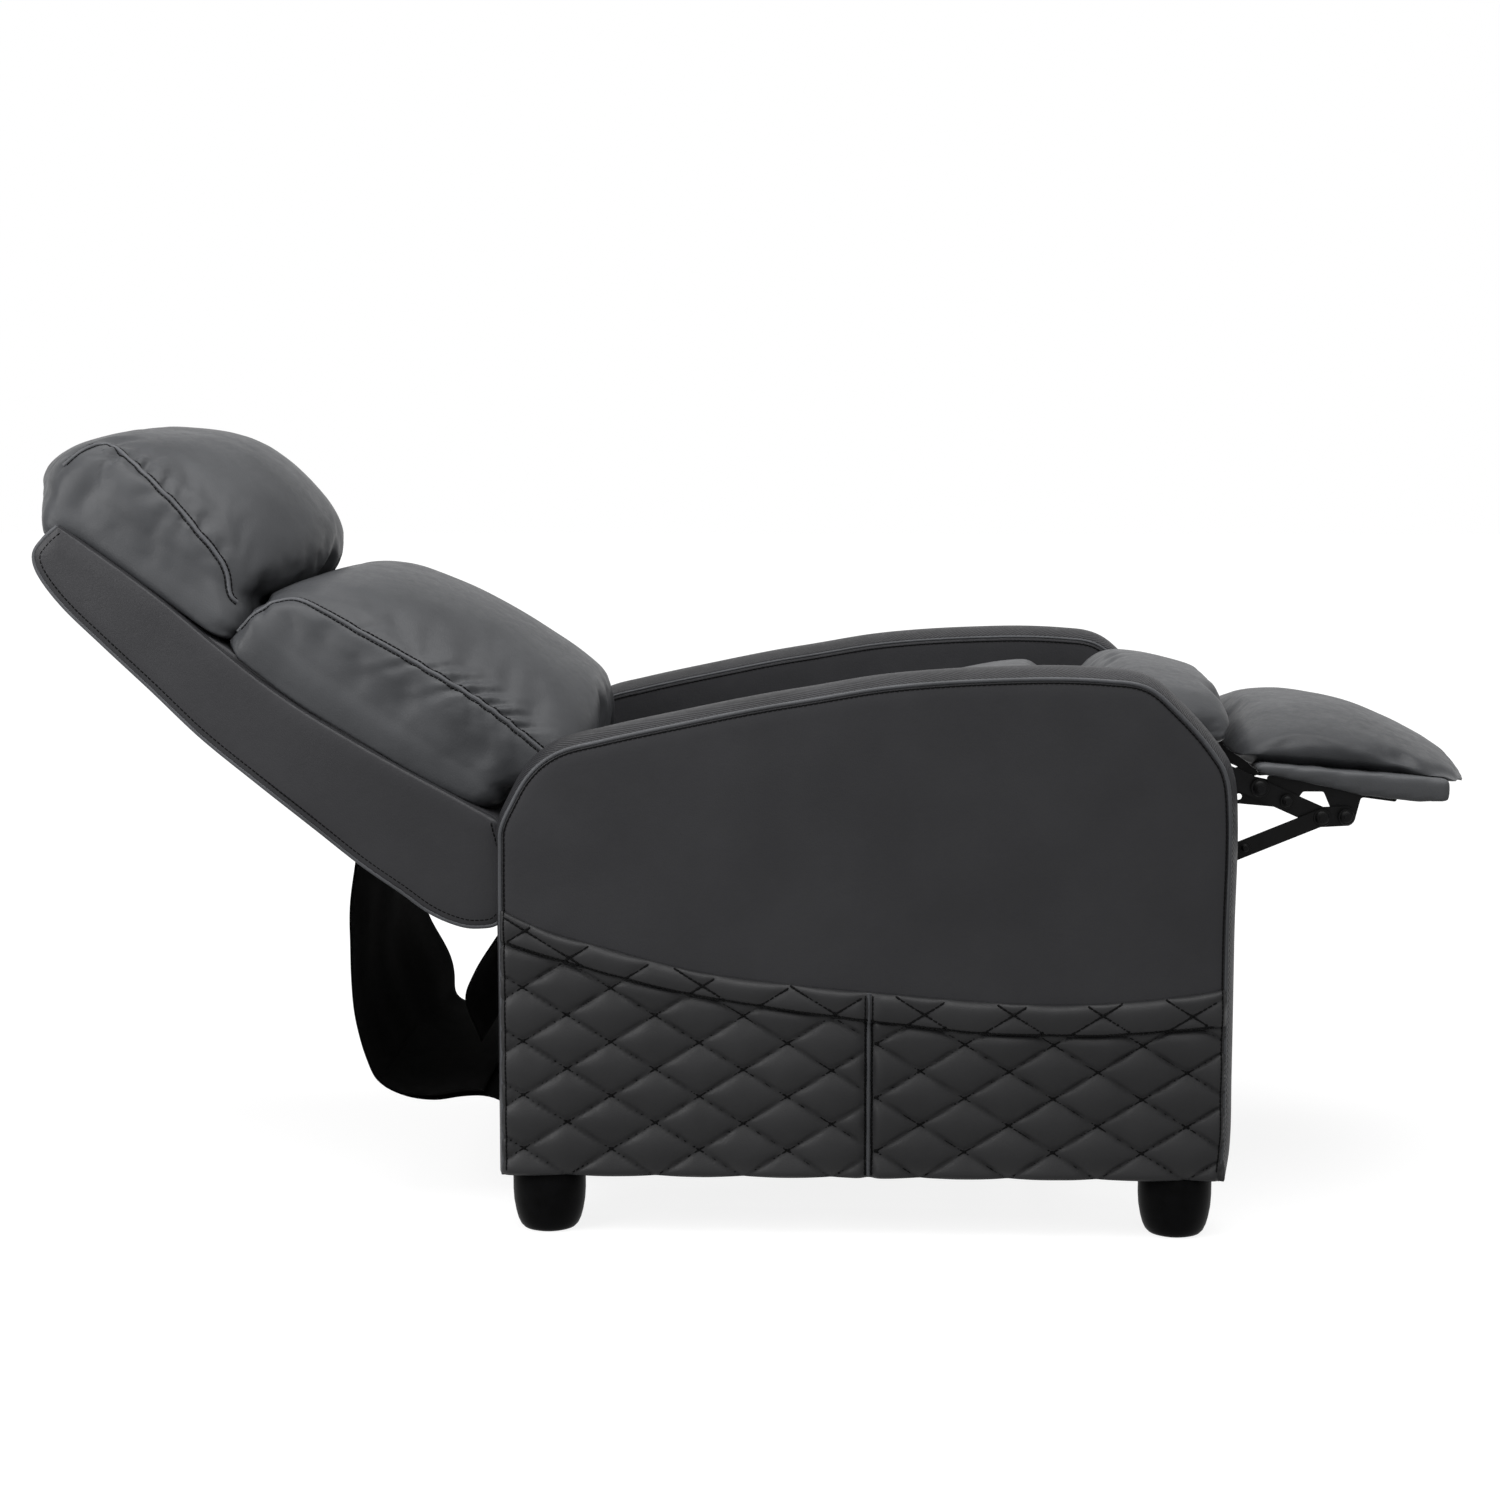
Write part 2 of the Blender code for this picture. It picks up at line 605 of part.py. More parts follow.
def quilt_mesh(side):
    """A sheet of diamonds, each a shallow pyramid, over a flat back."""
    columns = 2 * math.ceil(ARM_DEPTH / DIAMOND_LENGTH / 2 + 0.5) * 2
    rows = 2 * math.ceil(ARM_HEIGHT * 0.53 / DIAMOND_HEIGHT / 2 + 0.5) * 2
    shape = bmesh.new()
    bmesh.ops.create_grid(shape, x_segments=columns, y_segments=rows, size=1)
    shape.verts.ensure_lookup_table()
    corner = {}
    for vert in shape.verts:
        i = round((vert.co.x + 1) / 2 * columns)
        j = round((vert.co.y + 1) / 2 * rows)
        corner[vert] = (i + j) % 2 == 0
        x = ARM_REAR_X + DIAMOND_START + (i - 1) * DIAMOND_LENGTH / 2
        z = FOOT_HEIGHT + j * DIAMOND_HEIGHT / 2
        lift = QUILT_BASE + (0 if corner[vert] else QUILT_PUFF)
        vert.co = (x, side * (ARM_SKIN_Y + GAP + lift), z)
    for face in list(shape.faces):
        pair = [v for v in face.verts if corner[v]]
        bmesh.ops.connect_verts(shape, verts=pair)
    raised = bmesh.ops.extrude_face_region(shape, geom=list(shape.faces))
    flat = [item for item in raised["geom"] if isinstance(item, bmesh.types.BMVert)]
    for vert in flat:
        vert.co.y = side * (ARM_SKIN_Y + GAP)
    behind = set(flat)
    edges = [edge for edge in shape.edges if behind.issuperset(edge.verts)]
    bmesh.ops.dissolve_limit(shape, angle_limit=math.radians(1), verts=flat, edges=edges)
    return finished(shape, "quilt")


def build_side_panel(label, side):
    outline = on_arm(ARM_OUTLINE_SHARES)
    low_front = (ARM_REAR_X + ARM_DEPTH * 0.9, FOOT_HEIGHT + ARM_HEIGHT / 4)
    front_edge = [p for p in outline if p[0] > low_front[0] and p[1] < low_front[1]]
    hem_bottom = on_arm(HEM_BOTTOM_SHARES)
    hem_top = on_arm(HEM_TOP_SHARES)
    inset = ARM_EDGE_RADIUS / 2
    panel = [(x, z - 2 * GAP) for x, z in hem_bottom]
    panel = [(max(x, ARM_REAR_X + inset), z) for x, z in panel]
    panel[-1] = (front_edge[0][0] - inset, panel[-1][1])
    panel += [(x - inset, max(z, FOOT_HEIGHT + inset)) for x, z in front_edge[1:]]
    panel.append((ARM_REAR_X + inset, FOOT_HEIGHT + inset))
    start = ARM_SKIN_Y + GAP / 2
    end = ARM_OUTER_Y + QUILT_BASE
    obj = add_part(f"quilt_panel_{label}", quilt_mesh(side), "base", "quilted_leather")
    helper = add_helper(f"quilt_outline_{label}", slab_mesh(panel, side * start, side * end))
    add_boolean(obj, helper, "INTERSECT")
    hem = [(max(x, ARM_REAR_X + inset), z) for x, z in hem_top]
    hem[-1] = (front_edge[0][0] - inset, hem[-1][1])
    low = [(max(x, ARM_REAR_X + inset), z) for x, z in hem_bottom[::-1]]
    low[0] = (front_edge[0][0] - inset, low[0][1])
    first = ARM_SKIN_Y + GAP
    mesh = slab_mesh(hem + low, side * first, side * (first + HEM_THICKNESS))
    add_part(f"panel_hem_{label}", mesh, "base", "leather")


def build_foot(name, x, y):
    """A turned foot: straight at the top, then drawn in to a flat sole."""
    shape = bmesh.new()
    height = FOOT_HEIGHT - GAP
    profile = [(share * FOOT_RADIUS, rise * height) for share, rise in FOOT_PROFILE_SHARES]
    profile = [(0, height), *profile, (FOOT_FLAT_RADIUS, 0), (0, 0)]
    verts = [shape.verts.new((r, 0, z)) for r, z in profile]
    for a, b in zip(verts, verts[1:]):
        shape.edges.new((a, b))
    mesh = bpy.data.meshes.new(name)
    shape.to_mesh(mesh)
    shape.free()
    obj = add_helper(name + "_profile", mesh)
    obj.location = (x, y, 0)
    screw = obj.modifiers.new("turn", "SCREW")
    screw.steps = FOOT_STEPS
    screw.render_steps = FOOT_STEPS
    screw.use_merge_vertices = True
    screw.merge_threshold = GAP / 30
    bpy.context.view_layer.update()
    turned = evaluated_mesh(obj)
    bpy.data.objects.remove(obj, do_unlink=True)
    add_part(name, turned, "base", "black_plastic")


def build_base():
    for label, side in SIDES:
        build_arm(label, side)
        build_side_panel(label, side)
        foot_y = side * (ARM_INNER_Y + ARM_WIDTH / 2)
        build_foot(f"foot_rear_{label}", ARM_REAR_X + FOOT_INSET, foot_y)
        build_foot(f"foot_front_{label}", ARM_REAR_X + ARM_DEPTH - FOOT_INSET, foot_y)
        build_base_rail(label, side)
    for label, x in (("front", FRONT_TUBE_X), ("rear", REAR_TUBE_X)):
        half = TUBE_SIDE / 2
        low = TUBE_Z - half
        high = TUBE_Z + half
        corners = [(x - half, low), (x + half, low), (x + half, high), (x - half, high)]
        section = fillet(corners, CORNER_RADIUS / 2)
        add_part(f"cross_tube_{label}", slab_mesh(section, -CROSS_HALF, CROSS_HALF), "base", "steel")
    for label, x in (("front", FRONT_TUBE_X + TUBE_SIDE / 2 + GAP), ("rear", REAR_BOARD_X)):
        low = (x, -CROSS_HALF, BOARD_BOTTOM_Z)
        high = (x + BOARD_THICKNESS, CROSS_HALF, BOARD_BOTTOM_Z + BOARD_HEIGHT)
        add_part(f"board_{label}", box_mesh(low, high), "base", "wood")
    foot_x = REAR_BOARD_X - GAP - CLOTH / 2
    head = on_back(FLAP_HEAD_SHARES[0] * BACK_LENGTH, FLAP_HEAD_SHARES[1] * BACK_DEPTH - CLOTH / 2 - GAP)
    path = [head] + [(foot_x - u * FLAP_REACH, FLAP_FOOT_Z + v * FLAP_DROP) for u, v in FLAP_SHARES]
    path = [tuple(p) for p in sampled(path, 2 * len(path))]
    mesh = slab_mesh(strap(path, CLOTH / 2, 2), -FLAP_HALF_WIDTH, FLAP_HALF_WIDTH)
    add_part("rear_flap", mesh, "base", "black_cloth")


def build_base_rail(label, side):
    """A side rail of angle steel on the cross tubes, with a tower up to each swing pivot."""
    foot = TUBE_Z + TUBE_SIDE / 2 + GAP
    rear_x = REAR_TUBE_X - RAIL_OVERHANG
    front_x = FRONT_TUBE_X + TUBE_SIDE / 2
    top = foot + RAIL_BAR_HEIGHT
    towers = []
    for pivot in (SWING_BASE_PIVOT, CRANK_BASE_PIVOT):
        x, z = pivot
        towers += [(x - 3 * LUG_RADIUS, top), (x - LUG_RADIUS, z + LUG_RADIUS)]
        towers += [(min(x + LUG_RADIUS, front_x), z + LUG_RADIUS), (min(x + 3 * LUG_RADIUS, front_x), top)]
    towers = [p for i, p in enumerate(towers) if p not in towers[:i]]
    outline = [(rear_x, foot), (front_x, foot), *towers[::-1], (rear_x, top)]
    inner, outer = layer(5)
    pins = []
    for pivot in (CRANK_BASE_PIVOT, SWING_BASE_PIVOT):
        pins.append((pivot, PIN_RADIUS, layer(3)[0] - PLATE_SPACE / 4, outer + PLATE_SPACE))
    sole = [(rear_x, foot), (front_x, foot), (front_x, foot + PLATE), (rear_x, foot + PLATE)]
    flanges = [(sole, inner + PLATE / 2, outer + RAIL_FOOT_WIDTH)]
    outline = fillet(outline, CORNER_RADIUS)
    steel_part(f"base_rail_{label}", side, 5, outline, "base", "steel", pins=pins, flanges=flanges)


def build_swings():
    running = RUNNING_CLEARANCE
    for label, side in SIDES:
        ends = [(CRANK_BASE_PIVOT, CRANK_BOSS_RADIUS), (CRANK_SEAT_PIVOT, LUG_RADIUS)]
        outline = hull([*ends, (CRANK_BAR_PIVOT, LUG_RADIUS)])
        middle = [(a + b + c) / 3 for a, b, c in zip(CRANK_BASE_PIVOT, CRANK_SEAT_PIVOT, CRANK_BAR_PIVOT)]
        window = (middle[0] + LUG_RADIUS, middle[1] + LUG_RADIUS)
        inner, outer = layer(3)
        rivet = (CRANK_BAR_PIVOT, LOOSE_PIN_RADIUS, inner - PLATE_SPACE / 2, outer + PLATE_SPACE / 2)
        steel_part(
            f"bell_crank_{label}", side, 3, outline, "front_swing", "steel",
            bores=[(CRANK_BASE_PIVOT, running), (CRANK_SEAT_PIVOT, running)],
            holes=[(window, CRANK_WINDOW_RADIUS)], pins=[rivet],
        )
        steel_part(
            f"rear_swing_{label}", side, 3, strap([SWING_BASE_PIVOT, SWING_SEAT_PIVOT], LUG_RADIUS),
            "rear_swing", "steel", bores=[(SWING_BASE_PIVOT, running), (SWING_SEAT_PIVOT, PLATE_SPACE)],
        )
    reach = layer(3)[0] - GAP
    rod = rod_mesh(TORQUE_TUBE_AXIS, TORQUE_TUBE_RADIUS, -reach, reach)
    tube = add_part("torque_tube", rod, "front_swing", "steel")
    bore = rod_mesh(TORQUE_TUBE_AXIS, TORQUE_TUBE_RADIUS - TORQUE_TUBE_WALL, -2 * reach, 2 * reach)
    add_boolean(tube, add_helper("torque_tube_bore", bore), "DIFFERENCE")


def seat_plate_outline():
    """A bar along the wooden rail, with a lobe at each swing pivot and an upstand to the back's hinge."""
    half = SEAT_RAIL_HEIGHT / 2
    lug = LUG_RADIUS
    outline = [
        (BACK_PIVOT[0] - lug, BACK_PIVOT[1] + lug),
        (BACK_PIVOT[0] + lug, BACK_PIVOT[1] + lug),
        (SEAT_RAIL_REAR[0] + 2 * lug, on_seat_line(SEAT_RAIL_REAR[0] + 2 * lug, half * 0.6)),
        (LOWER_LINK_PIVOT[0] - 2.6 * lug, on_seat_line(LOWER_LINK_PIVOT[0] - 2.6 * lug, half * 0.6)),
        (LOWER_LINK_PIVOT[0] - lug / 2, LOWER_LINK_PIVOT[1] + 0.8 * lug),
        (LOWER_LINK_PIVOT[0] + 0.8 * lug, LOWER_LINK_PIVOT[1] + 0.4 * lug),
        (UPPER_LINK_PIVOT[0] + lug, UPPER_LINK_PIVOT[1] - lug / 2),
        (UPPER_LINK_PIVOT[0] - lug / 2, UPPER_LINK_PIVOT[1] - lug),
    ]
    for pivot in (CRANK_SEAT_PIVOT, SWING_SEAT_PIVOT):
        x, z = pivot
        wide = 2.6 * lug
        outline += [
            (x + wide, on_seat_line(x + wide, -half * 0.8)),
            (x + lug, z - 0.9 * lug),
            (x - lug, z - 0.9 * lug),
            (x - wide, on_seat_line(x - wide, -half * 0.8)),
        ]
    outline.append((SEAT_RAIL_REAR[0], on_seat_line(SEAT_RAIL_REAR[0], -half * 0.6)))
    outline.append((BACK_PIVOT[0] - lug, BACK_PIVOT[1] - 2 * lug))
    return fillet(outline[::-1], CORNER_RADIUS)


def build_seat():
    half = SEAT_RAIL_HEIGHT / 2
    for label, side in SIDES:
        top = PLATE_SPACE / 4
        pins = [
            (UPPER_LINK_PIVOT, PIN_RADIUS, layer(0)[0], layer(1)[1] + top),
            (LOWER_LINK_PIVOT, PIN_RADIUS, layer(0)[0], layer(3)[1] + top),
            (CRANK_SEAT_PIVOT, PIN_RADIUS, layer(0)[0], layer(3)[1] + top),
            (SWING_SEAT_PIVOT, PIN_RADIUS, layer(0)[0], layer(3)[1] + top),
            (BACK_PIVOT, PIN_RADIUS, layer(0)[0], layer(1)[1] + top),
        ]
        pins = [(center, radius, start + GAP, end) for center, radius, start, end in pins]
        steel_part(f"seat_plate_{label}", side, 0, seat_plate_outline(), "seat", "steel", pins=pins)
        rail = [along_seat(0, -half), along_seat(1, -half), along_seat(1, half), along_seat(0, half)]
        add_part(f"seat_rail_{label}", slab_mesh(rail, side * RAIL_INNER_Y, side * RAIL_OUTER_Y), "seat", "wood")
    thick = SEAT_RAIL_THICKNESS / math.dist(SEAT_RAIL_REAR, SEAT_RAIL_FRONT)
    rear_rail = [along_seat(u, v) for u, v in ((0, -half), (thick, -half), (thick, half), (0, half))]
    step = 1 - thick * FRONT_UPSTAND_SHARE
    front_rail = [along_seat(1 - thick, -half), along_seat(1, -half)]
    front_rail += [(along_seat(1, half)[0], FRONT_RAIL_TOP_Z), (along_seat(step, half)[0], FRONT_RAIL_TOP_Z)]
    front_rail += [along_seat(step, half), along_seat(1 - thick, half)]
    for label, rail in (("rear", rear_rail), ("front", front_rail)):
        add_part(f"seat_rail_{label}", slab_mesh(rail, -RAIL_INNER_Y + GAP, RAIL_INNER_Y - GAP), "seat", "wood")
    for index in range(SPRING_COUNT):
        build_spring(index, thick)
    steepness = (SEAT_RAIL_FRONT[0] - SEAT_RAIL_REAR[0]) / math.dist(SEAT_RAIL_REAR, SEAT_RAIL_FRONT)
    bottom = (half + 2 * SPRING_WIRE_RADIUS + SPRING_LIFT + 2 * GAP) / steepness
    run = SEAT_CUSHION_LENGTH
    lines = []
    for shares in (SEAT_BASE_SHARES, SEAT_SEAM_SHARES, SEAT_CROWN_SHARES):
        line = []
        for u, v in shares:
            x = SEAT_CUSHION_REAR_X + u * run
            line.append((x, on_seat_line(x, bottom + v * SEAT_CUSHION_HEIGHT)))
        lines.append(line)
    cushion("seat_cushion", *lines, SEAT_HALF_WIDTH, "seat", "leather")
    lines = []
    for shares in (FRONT_BASE_SHARES, FRONT_SEAM_SHARES, FRONT_CROWN_SHARES):
        line = []
        for u, v in shares:
            line.append((FRONT_PAD_REAR_X + u * FRONT_PAD_LENGTH, FRONT_PAD_BOTTOM_Z + v * FRONT_PAD_HEIGHT))
        lines.append(line)
    cushion("front_pad", *lines, SEAT_HALF_WIDTH - BAND_INSET, "seat", "leather")


def build_spring(index, thick):
    """A zigzag spring wire that lies on the tops of the rear and front rails."""
    curve = bpy.data.curves.new("spring", "CURVE")
    curve.dimensions = "3D"
    curve.bevel_depth = SPRING_WIRE_RADIUS
    curve.bevel_resolution = 1
    curve.use_fill_caps = True
    middle = (index - (SPRING_COUNT - 1) / 2) * SPRING_PITCH_Y
    half = SEAT_RAIL_HEIGHT / 2 + SPRING_WIRE_RADIUS + GAP
    start = thick * SPRING_SEAT_SHARE
    end = 1 - thick * (1 - SPRING_SEAT_SHARE)
    bends = [(wave, reach) for wave in range(SPRING_WAVES) for reach in SPRING_REACH_SHARES]
    points = []
    for i, (wave, reach) in enumerate(bends):
        sign = 1 if wave % 2 else -1
        share = start + (end - start) * i / (len(bends) - 1)
        lift = SPRING_LIFT * math.sin(math.pi * share)
        x, z = along_seat(share, half + lift)
        points.append((x, middle + sign * reach * SPRING_REACH / 2, z))
    spline = curve.splines.new("POLY")
    spline.points.add(len(points) - 1)
    for point, place in zip(spline.points, points):
        point.co = (*place, 1)
    obj = bpy.data.objects.new("spring", curve)
    cutters.objects.link(obj)
    bpy.context.view_layer.update()
    mesh = evaluated_mesh(obj)
    bpy.data.objects.remove(obj, do_unlink=True)
    add_part(f"seat_spring_{index + 1}", mesh, "seat", "spring_steel")


def bracket_outline():
    """The footrest bracket: a strip under the board with a lug down to each pivot and a scooped waist."""
    rear_x = REST_REAR_PIVOT[0] - BRACKET_REAR_SETBACK
    front_x = REST_FRONT_PIVOT[0] + BRACKET_FRONT_REACH
    lug = LUG_RADIUS * 0.86
    top = GAP + PLATE / 3
    waist_z = under_rest(REST_FRONT_PIVOT[0] - BRACKET_WAIST, BRACKET_RIM)
    outline = [
        (rear_x, under_rest(rear_x, top)),
        (rear_x + lug / 2, REST_REAR_PIVOT[1] - lug / 2),
        (REST_REAR_PIVOT[0] - lug / 2, REST_REAR_PIVOT[1] - lug),
        (REST_REAR_PIVOT[0] + lug, REST_REAR_PIVOT[1] - lug / 2),
        (REST_REAR_PIVOT[0] + BRACKET_WAIST, waist_z),
        (REST_FRONT_PIVOT[0] - 1.3 * BRACKET_WAIST, waist_z),
        (REST_FRONT_PIVOT[0] - lug, REST_FRONT_PIVOT[1] - lug / 4),
        (REST_FRONT_PIVOT[0], REST_FRONT_PIVOT[1] - lug),
        (REST_FRONT_PIVOT[0] + lug, REST_FRONT_PIVOT[1] - lug / 2),
        (REST_FRONT_PIVOT[0] + 1.6 * lug, under_rest(REST_FRONT_PIVOT[0] + 2 * lug, BRACKET_RIM)),
        (front_x, under_rest(front_x, BRACKET_RIM)),
        (front_x, under_rest(front_x, top)),
    ]
    return fillet(outline, CORNER_RADIUS / 2)


def build_footrest():
    running = RUNNING_CLEARANCE
    stub = PLATE_SPACE / 2
    ends = [(UPPER_LINK_PIVOT, PLATE_LINK_END), (REST_REAR_PIVOT, PLATE_LINK_END)]
    ends += [(hole, LIGHTENING_RADIUS + LIGHTENING_RIM) for hole in LIGHTENING_HOLES]
    for label, side in SIDES:
        steel_part(
            f"plate_link_{label}", side, 1, hull(ends), "upper_link", "steel",
            bores=[(UPPER_LINK_PIVOT, running)],
            holes=[(hole, LIGHTENING_RADIUS) for hole in LIGHTENING_HOLES],
            pins=[(REST_REAR_PIVOT, PIN_RADIUS, layer(1)[0] - stub, layer(2)[1] + stub / 2)],
        )
        bent = strap([LOWER_LINK_PIVOT, KNEE_PIVOT, REST_FRONT_PIVOT], LINK_HALF_WIDTH, 10)
        steel_part(
            f"cranked_link_{label}", side, 3, bent, "lower_link", "steel",
            bores=[(LOWER_LINK_PIVOT, running)],
            pins=[
                (KNEE_PIVOT, PIN_RADIUS, layer(3)[0] - stub, layer(4)[1] + stub),
                (REST_FRONT_PIVOT, LOOSE_PIN_RADIUS, layer(3)[0] - stub, layer(4)[0]),
            ],
        )
        steel_part(
            f"drive_bar_{label}", side, 4, strap([CRANK_BAR_PIVOT, KNEE_PIVOT], BAR_HALF_WIDTH, 10),
            "drive_bar", "steel", bores=[(KNEE_PIVOT, running), (CRANK_BAR_PIVOT, PLATE_SPACE)],
        )
        rear_x = REST_REAR_PIVOT[0] - BRACKET_REAR_SETBACK + CORNER_RADIUS
        front_x = REST_FRONT_PIVOT[0] + BRACKET_FRONT_REACH - CORNER_RADIUS / 2
        shelf = [
            (rear_x, under_rest(rear_x, GAP + PLATE)), (front_x, under_rest(front_x, GAP + PLATE)),
            (front_x, under_rest(front_x, GAP)), (rear_x, under_rest(rear_x, GAP)),
        ]
        inner, outer = layer(2)
        steel_part(
            f"footrest_bracket_{label}", side, 2, bracket_outline(), "footrest", "steel",
            bores=[(REST_REAR_PIVOT, running)],
            pins=[(REST_FRONT_PIVOT, LOOSE_PIN_RADIUS, inner - stub, outer + stub / 2)],
            flanges=[(shelf, inner - BRACKET_FLANGE, outer - PLATE / 2)],
        )
    corners = [(x, under_rest(x)) for x in (REST_REAR[0], REST_FRONT[0])] + [REST_FRONT, REST_REAR]
    mesh = slab_mesh(fillet(corners, REST_BOARD_REAR / 2), -REST_HALF_WIDTH, REST_HALF_WIDTH)
    add_part("footrest_board", mesh, "footrest", "leather")
    run = REST_FRONT[0] - REST_REAR[0]
    lines = []
    for shares in (REST_BASE_SHARES, REST_SEAM_SHARES, REST_CROWN_SHARES):
        line = []
        for u, v in shares:
            x = REST_REAR[0] + u * run
            line.append((x, on_rest_line(x, GAP + v * REST_CUSHION_HEIGHT)))
        lines.append(line)
    cushion("footrest_cushion", *lines, REST_HALF_WIDTH, "footrest", "leather")


def build_back():
    outline = on_back_shares(BACK_OUTLINE_SHARES)
    shell = add_part("back_shell", slab_mesh(outline, -BACK_HALF_WIDTH, BACK_HALF_WIDTH), "back", "leather")
    wall = BACK_WALL / BACK_LENGTH
    skin = BACK_WALL / BACK_DEPTH
    rear_points = [(u, v + skin) for u, v in BACK_OUTLINE_SHARES if v < HOLLOW_REAR_SHARE]
    hollow = [(min(max(u, HOLLOW_FOOT_SHARE), 1 - 2 * wall), v) for u, v in rear_points]
    lowered = -BACK_TOP_LOWERING / BACK_DEPTH
    hollow = [(1 + wall, 1), (1 + wall, lowered), (1 - 1.5 * wall, lowered), *hollow]
    hollow += [(HOLLOW_MOUTH_SHARE, hollow[-1][1]), (HOLLOW_MOUTH_SHARE, 1)]
    inner_y = BACK_HALF_WIDTH - BACK_WALL
    cutter = slab_mesh(on_back_shares(hollow), -inner_y, inner_y)
    add_boolean(shell, add_helper("back_shell_hollow", cutter), "DIFFERENCE")

    face = -BACK_SEAT_FACE - GAP
    rear = face - BACK_PANEL_THICKNESS
    reach = BACK_PANEL_REACH
    panel = [on_back(u, v) for u, v in ((0, rear), (0, face), (reach, face), (reach, rear))]
    half = inner_y - GAP
    board = add_part("back_panel", slab_mesh(panel, -half, half), "back", "plywood")
    notch_y = layer(1)[0] - GAP
    beyond = BACK_PANEL_THICKNESS
    notch = [
        on_back(-beyond, rear - beyond), on_back(-beyond, face + beyond),
        on_back(BRACKET_LENGTH + beyond, face + beyond), on_back(BRACKET_LENGTH + beyond, rear - beyond),
    ]
    for label, side in SIDES:
        mesh = slab_mesh(notch, side * notch_y, side * (half + beyond))
        add_boolean(board, add_helper(f"back_panel_notch_{label}", mesh), "DIFFERENCE")
    width = (2 * notch_y - 2 * SLOT_MARGIN - (SLOT_COLUMNS - 1) * SLOT_BRIDGE) / SLOT_COLUMNS
    height = (BACK_PANEL_REACH - 2 * SLOT_MARGIN - (SLOT_ROWS - 1) * SLOT_BRIDGE) / SLOT_ROWS
    for row in range(SLOT_ROWS):
        for column in range(SLOT_COLUMNS):
            low = SLOT_MARGIN + row * (height + SLOT_BRIDGE)
            near = -notch_y + SLOT_MARGIN + column * (width + SLOT_BRIDGE)
            slot = [
                on_back(low, rear - beyond), on_back(low, face + beyond),
                on_back(low + height, face + beyond), on_back(low + height, rear - beyond),
            ]
            mesh = slab_mesh(slot, near, near + width)
            add_boolean(board, add_helper(f"back_panel_slot_{row}_{column}", mesh), "DIFFERENCE")

    for label, side in SIDES:
        foot = on_back(BRACKET_LENGTH / 4, rear - LUG_RADIUS / 2)
        head = on_back(BRACKET_LENGTH, rear + LUG_RADIUS / 2)
        steel_part(
            f"back_bracket_{label}", side, 1, strap([BACK_PIVOT, foot, head], LUG_RADIUS), "back", "steel",
            bores=[(BACK_PIVOT, RUNNING_CLEARANCE)],
        )

    names = (
        ("head_cushion", HEAD_BASE_SHARES, HEAD_SEAM_SHARES, HEAD_CROWN_SHARES),
        ("back_cushion", LUMBAR_BASE_SHARES, LUMBAR_SEAM_SHARES, LUMBAR_CROWN_SHARES),
    )
    for name, base, seam, crown in names:
        lines = [on_back_shares(shares) for shares in (base, seam, crown)]
        cushion(name, *lines, BACK_CUSHION_HALF_WIDTH, "back", "leather")


def center_chair(root):
    """Moves the whole chair so that the middle of its bounding box is over the origin."""
    bpy.context.view_layer.update()
    graph = bpy.context.evaluated_depsgraph_get()
    spans = []
    for obj in parts.objects:
        if obj.type == "MESH":
            shape = obj.evaluated_get(graph)
            spans += [(shape.matrix_world @ v.co).x for v in shape.data.vertices]
    root.location.x = -(min(spans) + max(spans)) / 2
    print("moved along X by", round(root.location.x, 5))


clear_scene()
parts = new_collection("gaming_recliner")
cutters = new_collection("cutters")
finishes = {
    "leather": make_material("leather", (0.040, 0.040, 0.043), 0.48),
    "ribbed_leather": make_material("ribbed_leather", (0.022, 0.022, 0.024), 0.55),
    "quilted_leather": make_material("quilted_leather", (0.030, 0.030, 0.032), 0.50),
    "black_cloth": make_material("black_cloth", (0.006, 0.006, 0.006), 0.90),
    "black_plastic": make_material("black_plastic", (0.008, 0.008, 0.008), 0.40),
    "steel": make_material("steel", (0.010, 0.010, 0.010), 0.45, 0.6),
    "spring_steel": make_material("spring_steel", (0.30, 0.30, 0.31), 0.35, 1.0),
    "wood": make_material("wood", (0.50, 0.36, 0.20), 0.70),
    "plywood": make_material("plywood", (0.58, 0.43, 0.26), 0.70),
}
root = make_empty("recliner", (0, 0, 0), None)
bodies = {"base": root}
for body, (x, z), carrier in (
    ("front_swing", CRANK_BASE_PIVOT, "base"),
    ("rear_swing", SWING_BASE_PIVOT, "base"),
    ("seat", CRANK_SEAT_PIVOT, "front_swing"),
    ("upper_link", UPPER_LINK_PIVOT, "seat"),
    ("lower_link", LOWER_LINK_PIVOT, "seat"),
    ("footrest", REST_REAR_PIVOT, "upper_link"),
    ("drive_bar", KNEE_PIVOT, "lower_link"),
    ("back", BACK_PIVOT, "seat"),
):
    bodies[body] = make_empty(f"{body}_axis", (x, 0, z), bodies[carrier])
build_base()
build_swings()
build_seat()
build_footrest()
build_back()
center_chair(root)
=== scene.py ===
# A push-back armchair with its back down and its footrest out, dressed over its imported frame.
# Metres, +Z up, +X towards the footrest, -Y towards the camera.
import math

import bmesh
import bpy
import numpy as np
from mathutils import Matrix, Vector, noise
from mathutils.bvhtree import BVHTree
from mathutils.kdtree import KDTree


